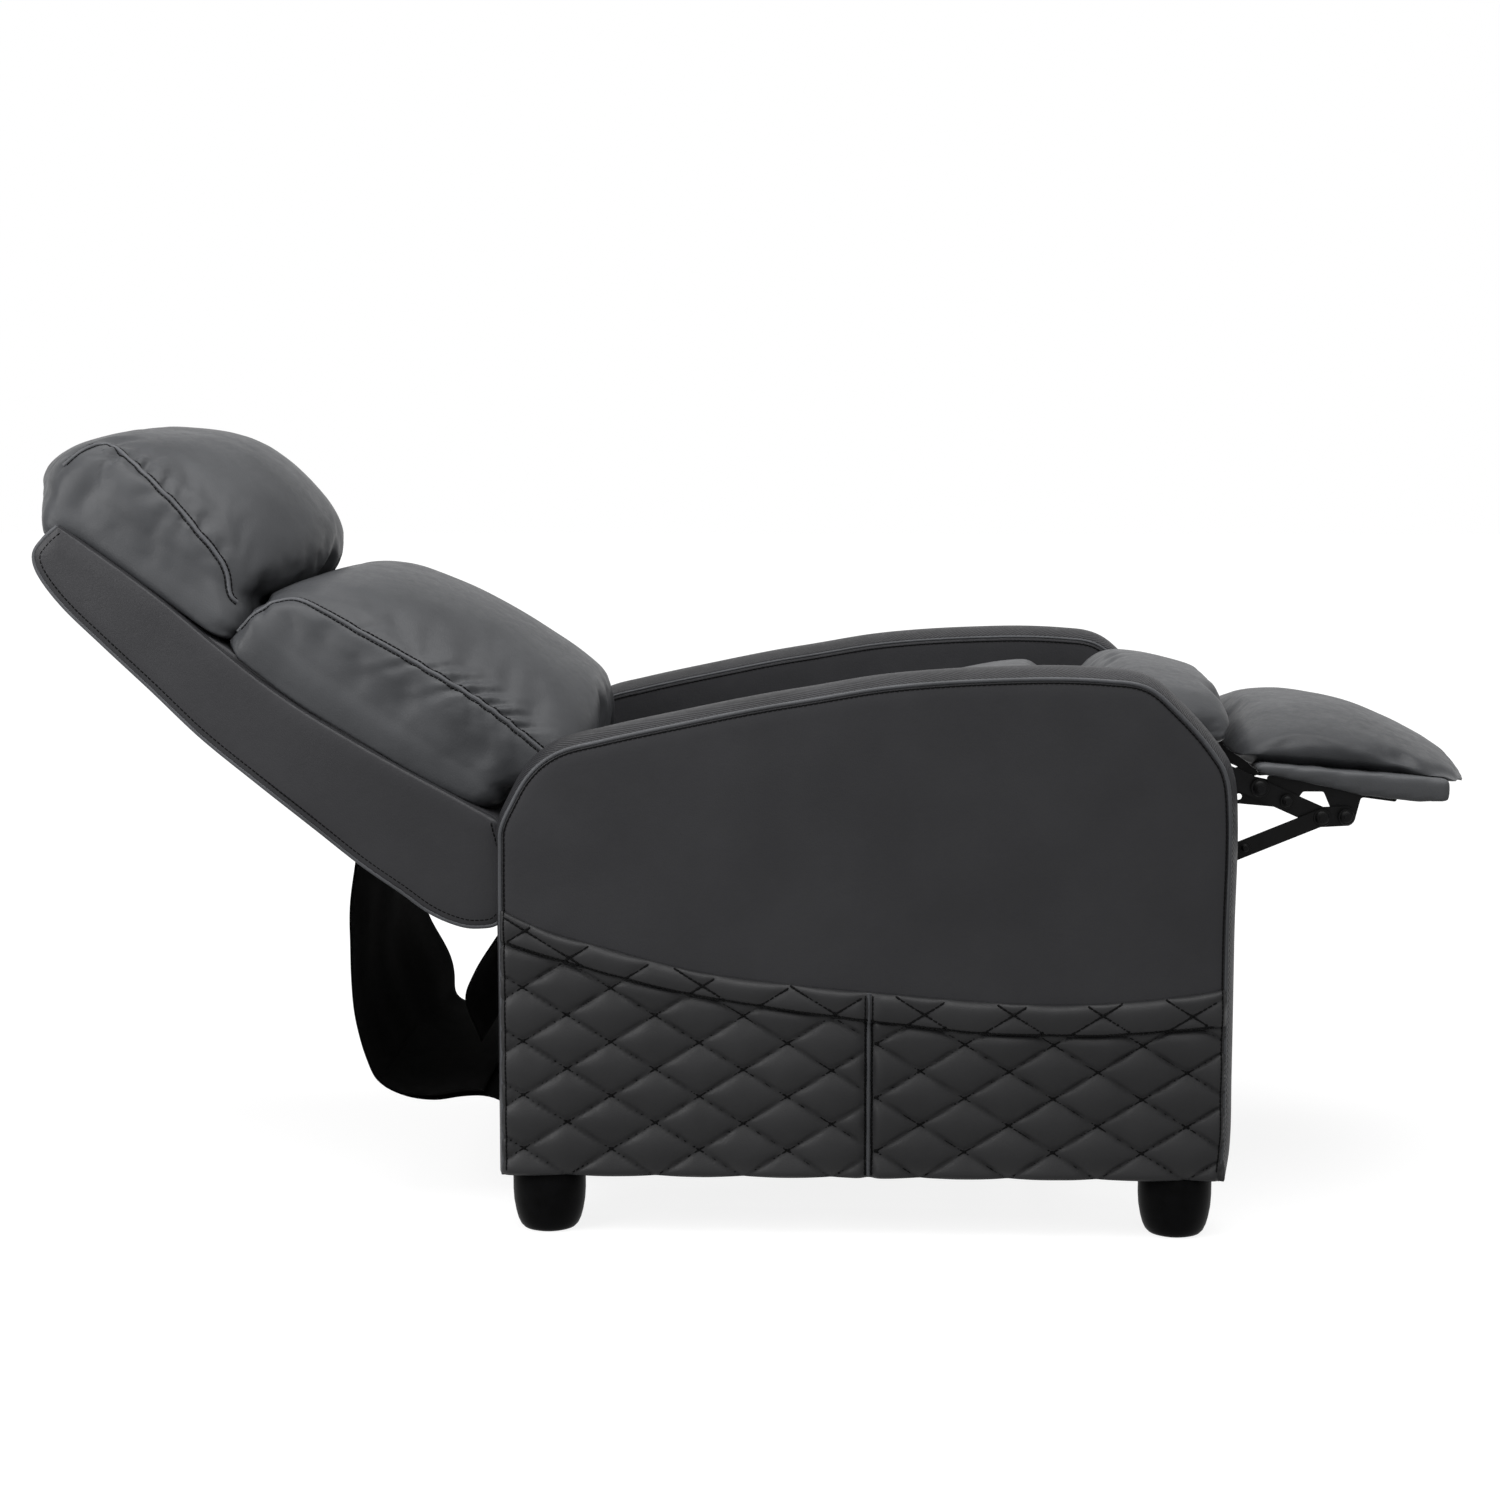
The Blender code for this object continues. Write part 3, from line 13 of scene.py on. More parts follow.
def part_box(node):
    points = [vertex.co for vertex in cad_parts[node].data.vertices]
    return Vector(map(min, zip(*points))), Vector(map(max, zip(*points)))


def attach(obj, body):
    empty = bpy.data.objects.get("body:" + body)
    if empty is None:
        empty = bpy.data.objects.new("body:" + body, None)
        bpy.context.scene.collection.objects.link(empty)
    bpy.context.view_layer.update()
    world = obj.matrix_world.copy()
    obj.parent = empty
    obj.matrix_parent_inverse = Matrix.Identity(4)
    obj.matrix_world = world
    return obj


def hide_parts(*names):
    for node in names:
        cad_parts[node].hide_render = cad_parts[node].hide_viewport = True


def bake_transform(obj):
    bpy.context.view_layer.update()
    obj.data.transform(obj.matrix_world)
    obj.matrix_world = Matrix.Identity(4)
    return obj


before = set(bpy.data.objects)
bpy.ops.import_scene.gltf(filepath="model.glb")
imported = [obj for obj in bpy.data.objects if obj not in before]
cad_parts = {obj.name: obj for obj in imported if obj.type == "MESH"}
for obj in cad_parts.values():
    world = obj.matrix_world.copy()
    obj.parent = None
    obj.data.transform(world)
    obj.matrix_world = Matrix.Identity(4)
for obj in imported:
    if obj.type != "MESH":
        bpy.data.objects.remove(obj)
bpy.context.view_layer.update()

armLow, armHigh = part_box("arm_body_left")
sides = (("Left", "left", 1), ("Right", "right", -1))


# Colour and nodes

def hexColour(text):
    parts = [int(text[i:i + 2], 16) / 255 for i in (1, 3, 5)]
    return (*(p / 12.92 if p <= 0.04045 else ((p + 0.055) / 1.055) ** 2.4 for p in parts), 1.0)


def addNode(tree, kind, settings=None, links=None):
    node = tree.nodes.new("ShaderNode" + kind)
    for name, value in (settings or {}).items():
        if isinstance(name, int) or name in node.inputs:
            node.inputs[name].default_value = value
        else:
            setattr(node, name, value)
    for name, source in (links or {}).items():
        tree.links.new(source, node.inputs[name])
    return node


def blankMaterial(name):
    material = bpy.data.materials.new(name)
    material.use_nodes = True
    material.node_tree.nodes.clear()
    return material, material.node_tree


def startMaterial(name, settings):
    material, tree = blankMaterial(name)
    shader = addNode(tree, "BsdfPrincipled", settings)
    addNode(tree, "OutputMaterial", {}, {"Surface": shader.outputs[0]})
    return material, tree, shader


def mixed(tree, colours, share):
    first, last = (hexColour(c) for c in colours)
    return addNode(tree, "Mix", {"data_type": "RGBA", 6: first, 7: last}, {0: share}).outputs[2]


def mottled(tree, place, colours, patch):
    cloud = addNode(tree, "TexNoise", {"Scale": 1 / patch, "Detail": 4.0, "Roughness": 0.55},
                    {"Vector": place})
    span = addNode(tree, "MapRange", {"From Min": 0.35, "From Max": 0.65}, {"Value": cloud.outputs[0]})
    return mixed(tree, colours, span.outputs[0])


leatherLook = {
    "grain": 0.0021,        # the rolled grain's pebbles, coarser than the real 0.8 mm, which wouldn't show
    "grainDepth": 0.00016,
    "crease": 0.011,        # fine creases where the hide gives
    "creaseDepth": 0.00045,
    "roughness": (0.40, 0.52),
    "gloss": 0.20,
    "patch": 0.11,
}
# The rib's shade is how dark its grooves are painted: painted shade between the ribs.
ribLook = {"pitch": 0.0037, "slant": 52, "depth": 0.0007, "shade": 0.40}


def makeLeather(name, colours, ribbed=False):
    # Bonded leather, a split hide coated with polyurethane and rolled with a fine grain: soft broad
    # highlights on the crown of each pad and no sparkle.
    look = leatherLook
    material, tree, shader = startMaterial(name, {"IOR": 1.46, "Specular IOR Level": look["gloss"]})
    place = addNode(tree, "TexCoord").outputs["Object"]
    colour = mottled(tree, place, colours, look["patch"])
    cells = addNode(tree, "TexVoronoi", {"Scale": 1 / look["grain"], "Randomness": 0.9}, {"Vector": place})
    crease = addNode(tree, "TexNoise", {"Scale": 1 / look["crease"], "Detail": 5.0, "Roughness": 0.62,
                                        "Distortion": 0.6}, {"Vector": place})
    low, high = look["roughness"]
    polish = addNode(tree, "MapRange", {"From Min": 0.3, "From Max": 0.7, "To Min": low, "To Max": high},
                     {"Value": crease.outputs[0]})
    tree.links.new(polish.outputs[0], shader.inputs["Roughness"])
    folds = addNode(tree, "Bump", {"Strength": 0.55, "Distance": look["creaseDepth"]},
                    {"Height": crease.outputs[0]})
    surface = addNode(tree, "Bump", {"Strength": 0.5, "Distance": look["grainDepth"]},
                      {"Height": cells.outputs[0], "Normal": folds.outputs[0]})
    if ribbed:
        # The rib runs aslant over the strip's own map, whose unit is the metre.
        flat = addNode(tree, "UVMap", {"uv_map": "flat"}).outputs[0]
        turned = addNode(tree, "Mapping", {"Rotation": (0, 0, math.radians(ribLook["slant"]))},
                         {"Vector": flat})
        ribs = addNode(tree, "TexWave", {"Scale": math.pi / 10 / ribLook["pitch"], "wave_profile": "SIN",
                                         "Distortion": 0.25, "Detail": 1.0}, {"Vector": turned.outputs[0]})
        surface = addNode(tree, "Bump", {"Strength": 1.0, "Distance": ribLook["depth"]},
                          {"Height": ribs.outputs[1], "Normal": surface.outputs[0]})
        # The grooves between the ribs are darkened in the colour as well: painted shade.
        shade = addNode(tree, "MapRange", {"To Min": ribLook["shade"], "To Max": 1.0},
                        {"Value": ribs.outputs[1]})
        colour = addNode(tree, "Mix", {"data_type": "RGBA", "blend_type": "MULTIPLY", 0: 1.0},
                         {6: colour, 7: shade.outputs[0]}).outputs[2]
    tree.links.new(colour, shader.inputs["Base Color"])
    tree.links.new(surface.outputs[0], shader.inputs["Normal"])
    return material


patternedLooks = {
    # Bonded polyester thread, twisted from three plies: matt black with a faint twist across it.
    "bondedPolyesterThread": {
        "shader": {"Roughness": 0.6, "Specular IOR Level": 0.06},
        "colours": ("#020202", "#0b0b0c"), "patch": 0.0012,
        "bumps": (("TexWave", {"Scale": 220.0, "bands_direction": "DIAGONAL"}, 0.4, 0.0002),),
    },
    # Spun-bonded polypropylene, embossed with small square points: dull, a little fuzzy, nearly black.
    "spunBondedFelt": {
        "shader": {"Roughness": 0.92, "Specular IOR Level": 0.02},
        "colours": ("#020202", "#060606"), "patch": 0.02,
        "bumps": (
            ("TexVoronoi", {"Scale": 1 / 0.003, "distance": "CHEBYCHEV", "Randomness": 0.15}, 0.5, 0.0004),
            ("TexNoise", {"Scale": 1 / 0.0015, "Detail": 3.0}, 0.4, 0.0003),
        ),
    },
    # Pressed steel sheet with a baked black powder coat: satin, with a faint orange peel and dusty rubs.
    "powderCoatedSteel": {
        "shader": {"Metallic": 0.0, "Specular IOR Level": 0.10},
        "colours": ("#050505", "#0e0e0f"), "patch": 0.03,
        "bumps": (("TexNoise", {"Scale": 1 / 0.0022, "Detail": 2.0}, 0.35, 0.0003),),
        "polish": ({"Scale": 1 / 0.018, "Detail": 5.0, "Roughness": 0.7},
                   {"From Min": 0.35, "From Max": 0.7, "To Min": 0.34, "To Max": 0.55}),
    },
    # Injection-moulded polypropylene with a spark-eroded texture: deep black, satin.
    "mouldedPolypropylene": {
        "shader": {"IOR": 1.49, "Specular IOR Level": 0.03},
        "colours": ("#040404", "#0a0a0b"), "patch": 0.02,
        "bumps": (("TexNoise", {"Scale": 1 / 0.0012, "Detail": 3.0}, 0.3, 0.0002),),
        "polish": ({"Scale": 1 / 0.0012, "Detail": 3.0}, {"To Min": 0.36, "To Max": 0.5}),
    },
    # Hard-drawn spring wire with a thin zinc coat: grey metal with a fine grain and dull spots.
    "zincCoatedWire": {
        "shader": {"Metallic": 1.0},
        "colours": ("#6c6e70", "#9a9c9e"), "patch": 0.008,
        "bumps": (("TexNoise", {"Scale": 1 / 0.0011, "Detail": 4.0}, 0.3, 0.0001),),
        "polish": ({"Scale": 1 / 0.0011, "Detail": 4.0}, {"To Min": 0.3, "To Max": 0.5}),
    },
}
# The same cloth, dusty.
patternedLooks["dustCoverFelt"] = {**patternedLooks["spunBondedFelt"], "colours": ("#050505", "#0c0c0d")}


def makePatterned(name):
    # A mottled colour, bumps laid on each other and, where the finish has one, a pattern in its roughness.
    look = patternedLooks[name]
    material, tree, shader = startMaterial(name, look["shader"])
    place = addNode(tree, "TexCoord").outputs["Object"]
    tree.links.new(mottled(tree, place, look["colours"], look["patch"]), shader.inputs["Base Color"])
    under = {}
    for kind, settings, strength, distance in look["bumps"]:
        pattern = addNode(tree, kind, settings, {"Vector": place})
        height = pattern.outputs[1 if kind == "TexWave" else 0]
        bump = addNode(tree, "Bump", {"Strength": strength, "Distance": distance},
                       {"Height": height, **under})
        under = {"Normal": bump.outputs[0]}
    tree.links.new(bump.outputs[0], shader.inputs["Normal"])
    if "polish" in look:
        cloudSettings, span = look["polish"]
        cloud = addNode(tree, "TexNoise", cloudSettings, {"Vector": place})
        polish = addNode(tree, "MapRange", span, {"Value": cloud.outputs[0]})
        tree.links.new(polish.outputs[0], shader.inputs["Roughness"])
    return material


def makeWood(name, colours, ring, stretch):
    # Sawn and planed wood, unfinished: growth rings drawn out along the board, fine pores, no gloss.
    material, tree, shader = startMaterial(name, {"Roughness": 0.68, "Specular IOR Level": 0.3})
    place = addNode(tree, "TexCoord").outputs["Object"]
    board = addNode(tree, "Mapping", {"Scale": stretch}, {"Vector": place})
    rings = addNode(tree, "TexWave", {"Scale": math.pi / 10 / ring, "wave_type": "RINGS", "Distortion": 3.0,
                                      "Detail": 3.0, "Detail Scale": 1.6}, {"Vector": board.outputs[0]})
    tree.links.new(mixed(tree, colours, rings.outputs[1]), shader.inputs["Base Color"])
    pores = addNode(tree, "TexNoise", {"Scale": 1 / 0.0016, "Detail": 4.0}, {"Vector": board.outputs[0]})
    bump = addNode(tree, "Bump", {"Strength": 0.4, "Distance": 0.0004}, {"Height": pores.outputs[0]})
    tree.links.new(bump.outputs[0], shader.inputs["Normal"])
    return material


smoothLeather = makeLeather("rolledBondedLeather", ("#272729", "#2c2c2e"))
# Paler than the other leathers: painted light, standing in for the light that falls on the footrest's board.
litBoardLeather = makeLeather("paintedLitBoardLeather", ("#454648", "#4d4e50"))
cushionLeather = makeLeather("softBondedLeather", ("#323335", "#3b3c3e"))
quiltedLeather = makeLeather("quiltedBondedLeather", ("#202021", "#282829"))
# Paler than the leather it is cut from: a painted highlight on the seam ridges.
highlightedSeamLeather = makeLeather("seamLeatherPaintedHighlight", ("#3c3d3f", "#4a4b4e"))
ribbedLeather = makeLeather("ribEmbossedLeather", ("#222224", "#2c2c2f"), ribbed=True)
thread = makePatterned("bondedPolyesterThread")
flapFelt = makePatterned("spunBondedFelt")
dustFelt = makePatterned("dustCoverFelt")
powderCoat = makePatterned("powderCoatedSteel")
mouldedPlastic = makePatterned("mouldedPolypropylene")
springWire = makePatterned("zincCoatedWire")
softwood = makeWood("planedSpruce", ("#b8955f", "#d8bd8c"), 0.004, (1, 0.08, 1))
plywood = makeWood("birchPlywood", ("#c4a676", "#dcc59a"), 0.0015, (1, 0.1, 1))
print("materials made")


# Lines and meshes

def smoothLine(points, step):
    # A smooth curve through the points, given again at even steps along it.
    spots = [Vector(p) for p in points]
    runs = [(b - a).normalized() for a, b in zip(spots, spots[1:])]
    slopes = [runs[0], *((a + b).normalized() for a, b in zip(runs, runs[1:])), runs[-1]]
    dense = [spots[0]]
    for a, b, before, after in zip(spots, spots[1:], slopes, slopes[1:]):
        length = (b - a).length
        count = max(2, math.ceil(length / step * 2))
        for k in range(1, count + 1):
            t = k / count
            bow = before * (length * t * (1 - t) ** 2) - after * (length * t * t * (1 - t))
            dense.append(a * (1 - t) ** 2 * (1 + 2 * t) + b * t * t * (3 - 2 * t) + bow)
    return evenly(dense, step)


def evenly(line, step):
    reach = [0.0]
    for a, b in zip(line, line[1:]):
        reach.append(reach[-1] + (b - a).length)
    count = max(2, round(reach[-1] / step))
    table = np.array(line)
    wanted = np.linspace(0, reach[-1], count + 1)
    columns = [np.interp(wanted, reach, table[:, axis]) for axis in range(table.shape[1])]
    return [Vector(p) for p in zip(*columns)]


def tangents(line):
    last = len(line) - 1
    return [(line[min(i + 1, last)] - line[max(i - 1, 0)]).normalized() for i in range(len(line))]


def moved(line, distance):
    # A flat line moved square to itself; a positive distance is to its left.
    return [p + Vector((-t.y, t.x)) * distance for p, t in zip(line, tangents(line))]


def pointAt(line, share):
    place = min(max(share, 0.0), 1.0) * (len(line) - 1)
    i = min(int(place), len(line) - 2)
    return line[i].lerp(line[i + 1], place - i)


def heightOf(line):
    # The height of a line at a given place along its first axis.
    across = [p[0] for p in line]
    heights = [p[1] for p in line]
    return lambda at: float(np.interp(at, across, heights))


def edgeTreeOf(line):
    # Finds the closest point of a flat line.
    tree = KDTree(len(line))
    for i, p in enumerate(line):
        tree.insert((p.x, p.y, 0), i)
    tree.balance()
    return tree


def lengthOf(line):
    return sum((b - a).length for a, b in zip(line, line[1:]))


def evaluatedMesh(obj):
    bpy.context.view_layer.update()
    graph = bpy.context.evaluated_depsgraph_get()
    return bpy.data.meshes.new_from_object(obj.evaluated_get(graph))


def newPiece(name, mesh, material, body, nodes=()):
    mesh.name = name
    piece = bpy.data.objects.new(name, mesh)
    bpy.context.scene.collection.objects.link(piece)
    if material:
        # Clearing resets each face's material number, so it is done only where there are materials.
        if mesh.materials:
            mesh.materials.clear()
        for item in (material if isinstance(material, (list, tuple)) else [material]):
            mesh.materials.append(item)
    mesh.shade_smooth()
    if body:
        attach(piece, body)
    if nodes:
        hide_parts(*nodes)
    return piece


def shapeMesh(shape, core=None):
    # The finished mesh; core is a point that the faces have to point away from.
    bmesh.ops.remove_doubles(shape, verts=shape.verts, dist=1e-6)
    if core is None:
        bmesh.ops.recalc_face_normals(shape, faces=shape.faces)
    else:
        shape.normal_update()
        core = Vector(core)
        facing = sum(f.normal.dot(f.calc_center_median() - core) * f.calc_area() for f in shape.faces)
        if facing < 0:
            bmesh.ops.reverse_faces(shape, faces=shape.faces)
    mesh = bpy.data.meshes.new("shape")
    shape.to_mesh(mesh)
    shape.free()
    return mesh


def bentSheet(columns, rows, place, size, core):
    # A flat grid whose points are then laid where place(u, v) says, with its own map in metres.
    shape = bmesh.new()
    bmesh.ops.create_grid(shape, x_segments=columns, y_segments=rows, size=0.5)
    flat = shape.loops.layers.uv.new("flat")
    for face in shape.faces:
        for loop in face.loops:
            loop[flat].uv = ((loop.vert.co.x + 0.5) * size[0], (loop.vert.co.y + 0.5) * size[1])
    for vert in shape.verts:
        vert.co = place(vert.co.x + 0.5, vert.co.y + 0.5)
    return shapeMesh(shape, core)


def readPoints(items, attribute):
    points = np.zeros(len(items) * 3, np.float32)
    items.foreach_get(attribute, points)
    return points.reshape(-1, 3).astype(float)


def verticesOf(mesh):
    return readPoints(mesh.vertices, "co")


def normalsOf(mesh):
    return readPoints(mesh.vertex_normals, "vector")


def setVertices(mesh, points):
    mesh.vertices.foreach_set("co", points.astype(np.float32).ravel())
    mesh.update()


def softCopy(name, node, material, voxel, passes):
    # A copy of a node's solid with even cells and eased edges.
    shape = bmesh.new()
    shape.from_mesh(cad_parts[node].data)
    bmesh.ops.remove_doubles(shape, verts=shape.verts, dist=1e-5)
    piece = newPiece(name, shapeMesh(shape), material, None)
    remesh = piece.modifiers.new("even cells", "REMESH")
    remesh.mode = "VOXEL"
    remesh.voxel_size = voxel
    ease = piece.modifiers.new("ease edges", "SMOOTH")
    ease.factor = 0.5
    ease.iterations = passes
    even = evaluatedMesh(piece)
    piece.modifiers.clear()
    piece.data = even
    even.name = name
    return piece


def thicken(piece, thickness):
    wall = piece.modifiers.new("wall", "SOLIDIFY")
    wall.thickness = thickness
    wall.offset = -1
    wall.use_even_offset = False


def tubeMesh(paths, radius, resolution):
    # One tube along each path, by a curve with a bevel.
    curve = bpy.data.curves.new("tube", "CURVE")
    curve.dimensions = "3D"
    curve.bevel_depth = radius
    curve.bevel_resolution = resolution
    curve.use_fill_caps = True
    for path in paths:
        spline = curve.splines.new("POLY")
        spline.points.add(len(path) - 1)
        spline.points.foreach_set("co", [c for p in path for c in (*p, 1.0)])
    helper = bpy.data.objects.new("tube", curve)
    bpy.context.scene.collection.objects.link(helper)
    mesh = evaluatedMesh(helper)
    bpy.data.objects.remove(helper)
    return mesh


def joinedMesh(parts):
    # Several meshes as one, each with its own material number.
    shape = bmesh.new()
    for mesh, index in parts:
        before = len(shape.faces)
        shape.from_mesh(mesh)
        shape.faces.ensure_lookup_table()
        for face in shape.faces[before:]:
            face.material_index = index
    mesh = bpy.data.meshes.new("joined")
    shape.to_mesh(mesh)
    shape.free()
    return mesh


# The threads are drawn thicker than the real 0.4 mm, which wouldn't show. Their dark rows are partly the
# thread's own black and partly painted shade, standing in for the shade in the seam grooves.
stitchLook = {"length": 0.0046, "pitch": 0.0054, "radius": 0.0009, "sink": 0.0006}
quiltingLook = {"length": 0.0052, "pitch": 0.0058, "radius": 0.0012, "sink": 0.0002}


def stitchPaths(path, normals, look=stitchLook):
    # A row of short arched threads along a path that lies on a surface.
    reach = [0.0]
    for a, b in zip(path, path[1:]):
        reach.append(reach[-1] + (b - a).length)
    table = np.array(path)
    square = np.array(normals)
    found = []
    for k in range(int(reach[-1] / look["pitch"])):
        middle = (k + 0.5) * look["pitch"]
        spots = []
        for shift, rise in ((-0.5, -look["sink"]), (-0.3, look["radius"] * 0.6), (0.3, look["radius"] * 0.6),
                            (0.5, -look["sink"])):
            at = middle + shift * look["length"]
            place = [np.interp(at, reach, table[:, axis]) for axis in range(3)]
            out = [np.interp(at, reach, square[:, axis]) for axis in range(3)]
            spots.append(Vector(place) + Vector(out) * rise)
        found.append(spots)
    return found


# Arms

arm = {
    # The side outline from the rear bottom corner over the top to the front one, in shares of the size.
    "outlineShares": (
        (0.000, 0.000), (0.000, 0.330), (0.000, 0.658), (0.001, 0.697), (0.016, 0.747), (0.036, 0.797),
        (0.057, 0.829), (0.085, 0.853), (0.140, 0.874), (0.258, 0.911), (0.361, 0.941), (0.427, 0.957),
        (0.522, 0.980), (0.600, 0.991), (0.693, 0.998), (0.771, 1.000), (0.833, 0.996), (0.874, 0.989),
        (0.895, 0.976), (0.927, 0.935), (0.959, 0.887), (0.981, 0.846), (0.991, 0.823), (0.997, 0.796),
        (1.000, 0.764), (1.000, 0.480), (1.000, 0.206), (0.999, 0.054), (0.994, 0.000),
    ),
    "hemTopShares": (
        (0.000, 0.530), (0.062, 0.489), (0.139, 0.457), (0.194, 0.435), (0.277, 0.407), (0.415, 0.381),
        (0.552, 0.364), (0.689, 0.349), (0.772, 0.346), (0.854, 0.351), (0.937, 0.364), (1.000, 0.379),
    ),
    "hemBottomShares": (
        (0.000, 0.489), (0.070, 0.457), (0.139, 0.428), (0.207, 0.403), (0.276, 0.381), (0.359, 0.362),
        (0.442, 0.345), (0.580, 0.322), (0.662, 0.310), (0.745, 0.307), (0.828, 0.307), (1.000, 0.327),
    ),
    "cell": 0.0055,
    "panelLift": 0.0036,      # padding of the plain side panel over the frame
    "panelEdge": 0.018,       # how far in the padding takes to reach its full lift
    "panelCrown": 0.0030,
    "hemLift": 0.0062,
    "hemEdge": 0.009,
    "hemRise": 0.0045,        # the stuffed hem bulges over both of its edges
    "hemDrop": 0.0095,
    "quiltLift": 0.0012,
    "puff": 0.0108,
    "puffFullness": 0.42,
    "diamond": (0.0945, 0.0586),      # full length and height of one diamond
    "diamondCorner": (0.0232, 0.0293),  # one crossing of its seams, from the arm's rear bottom corner
    "hemShift": (0.004, 0.004),
    "dividerX": 0.3935,       # the upright double seam, from the arm's rear edge
    "wall": 0.0022,
    "ridge": 0.0023,
    "ridgeInset": 0.0008,
    "stitchInset": 0.0048,
    "bandCrown": 0.0095,
    "bandSideCrown": 0.0055,
    "bandFrontCrown": 0.0110,
    "bandEdge": 0.0010,
    "innerEdge": 0.0020,
    "innerRidge": 0.0017,
    "coreInset": 0.0010,
    "coreGap": 0.0016,        # from the core to the inner cover
    "coreSpare": 0.0026,
    "floorGap": 0.0006,
    "panelTuck": 0.008,       # how far a cover runs on under its neighbour
    "quiltTuck": 0.004,
    "hemCell": 0.0026, "quiltCell": 0.0028, "innerCell": 0.012,
    "bandGaps": (0.0020, 0.0006), "bandWall": 0.0014, "bandCells": (420, 22),
    "seamLift": 0.0012, "innerSeamLift": 0.0021,
    "dividerLift": 0.0030, "dividerHemLift": 0.0032,
    "innerStitchInset": 0.0058, "innerStitchLift": 0.0007,
    "dividerStitches": 0.0038, "hemStitchRise": 0.0032,
    "shoulder": 0.010, "dividerWidth": 0.007,
    "panelWave": 0.0007, "panelWaveSize": 0.13,
    "hemFloor": 0.0016, "hemPuffShare": 0.62, "hemPuffEdge": 0.016,
    "quiltPuffEdge": 0.014, "quiltWave": 0.0005, "quiltWaveSize": 0.02,
    "spread": 0.65,           # the rest of the columns crowd towards the rear and front edges
    "rise": 1.25,             # rows crowd towards the top edge
}
lattice = {
    "rows": 12, "spots": 400, "step": 0.002, "shortest": 4,
    "sideGap": 0.006, "frontGap": 0.008, "lowGap": 0.003, "topGap": 0.001,
}


def onArm(shares):
    size = armHigh - armLow
    return [Vector((armLow.x + u * size.x, armLow.z + v * size.z)) for u, v in shares]


armOutline = smoothLine(onArm(arm["outlineShares"]), 0.003)
armHemTop = [p + Vector((0, arm["hemRise"])) for p in smoothLine(onArm(arm["hemTopShares"]), 0.004)]
armHemBottom = [p - Vector((0, arm["hemDrop"])) for p in smoothLine(onArm(arm["hemBottomShares"]), 0.004)]
armSkin = armHigh.y
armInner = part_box("arm_inner_panel_left")[0].y
hemTopAt = heightOf(armHemTop)
hemBottomAt = heightOf(armHemBottom)
overTop = [p for p in armOutline if p.y > armLow.z + 0.6 * (armHigh.z - armLow.z)]
armTopAt = heightOf(sorted(overTop, key=lambda p: p.x))
armEdgeTree = edgeTreeOf(armOutline)


def rounded(distance, reach):
    # 0 at an edge, rising like a rounded shoulder to 1 at reach.
    t = min(max(distance / reach, 0.0), 1.0)
    return math.sqrt(1 - (1 - t) ** 2)


def edgeDistance(x, z):
    return armEdgeTree.find((x, z, 0))[2]


def diamondPuff(x, z, shift=(0.0, 0.0)):
    length, height = arm["diamond"]
    across = (x - armLow.x - arm["diamondCorner"][0] - shift[0]) / length
    up = (z - armLow.z - arm["diamondCorner"][1] - shift[1]) / height
    a = (across + up) % 1.0
    b = (across - up) % 1.0
    return (math.sin(math.pi * a) * math.sin(math.pi * b)) ** arm["puffFullness"]


def ripple(x, z, scale, seed):
    return noise.noise(Vector((x / scale, z / scale, seed)))


def bow(share):
    return math.sin(math.pi * min(max(share, 0), 1))


def panelLift(x, z):
    lift = arm["panelLift"] * rounded(edgeDistance(x, z), arm["panelEdge"])
    share = (x - armLow.x) / (armHigh.x - armLow.x)
    rise = (z - hemTopAt(x)) / max(armTopAt(x) - hemTopAt(x), 0.02)
    crown = max(bow(share) * bow(rise), 0)
    wave = arm["panelWave"] * ripple(x, z, arm["panelWaveSize"], 3.1)
    return lift + arm["panelCrown"] * crown ** 0.7 + wave * crown


def sideShoulder(x, z):
    # The padding thins out towards the rear and front edges and the bottom.
    return rounded(edgeDistance(x, z), arm["shoulder"]) * rounded(z - armLow.z + 0.002, arm["shoulder"])


def dividerDip(x):
    return 1 - math.exp(-((x - armLow.x - arm["dividerX"]) / arm["dividerWidth"]) ** 2)


def hemLift(x, z):
    edge = min(z - hemBottomAt(x), hemTopAt(x) - z)
    puff = arm["puff"] * arm["hemPuffShare"] * diamondPuff(x, z, arm["hemShift"])
    puff *= rounded(edge, arm["hemPuffEdge"]) * dividerDip(x)
    level = arm["hemFloor"] + arm["hemLift"] * rounded(edge + 0.0006, arm["hemEdge"])
    return (level + puff) * sideShoulder(x, z)


def quiltLift(x, z):
    edge = min(hemBottomAt(x) - z + arm["quiltTuck"], 1.0)
    puff = arm["puff"] * diamondPuff(x, z) * rounded(edge, arm["quiltPuffEdge"]) * dividerDip(x)
    wave = arm["quiltWave"] * ripple(x, z, arm["quiltWaveSize"], 8.7)
    return arm["quiltLift"] + puff * sideShoulder(x, z) + wave


def sideSheet(side, lower, upper, lift, base, cell):
    # A cover over the side of the arm between two heights, which both depend on x.
    length = armHigh.x - armLow.x
    columns = round(length / cell)
    middle = armLow.x + length / 2
    tallest = max(upper(x) - lower(x) for x in (armLow.x + length * k / 20 for k in range(21)))
    rows = max(4, round(tallest / cell))

    def place(u, v):
        along = (1 - arm["spread"]) * (1 - math.cos(math.pi * u)) / 2 + arm["spread"] * u
        x = armLow.x + length * along
        low = lower(x)
        z = low + (upper(x) - low) * (1 - (1 - v) ** arm["rise"])
        return Vector((x, side * (base + lift(x, z)), z))

    size = (length, tallest)
    return bentSheet(columns, rows, place, size, (middle, 0, (armLow.z + armHigh.z) / 2))


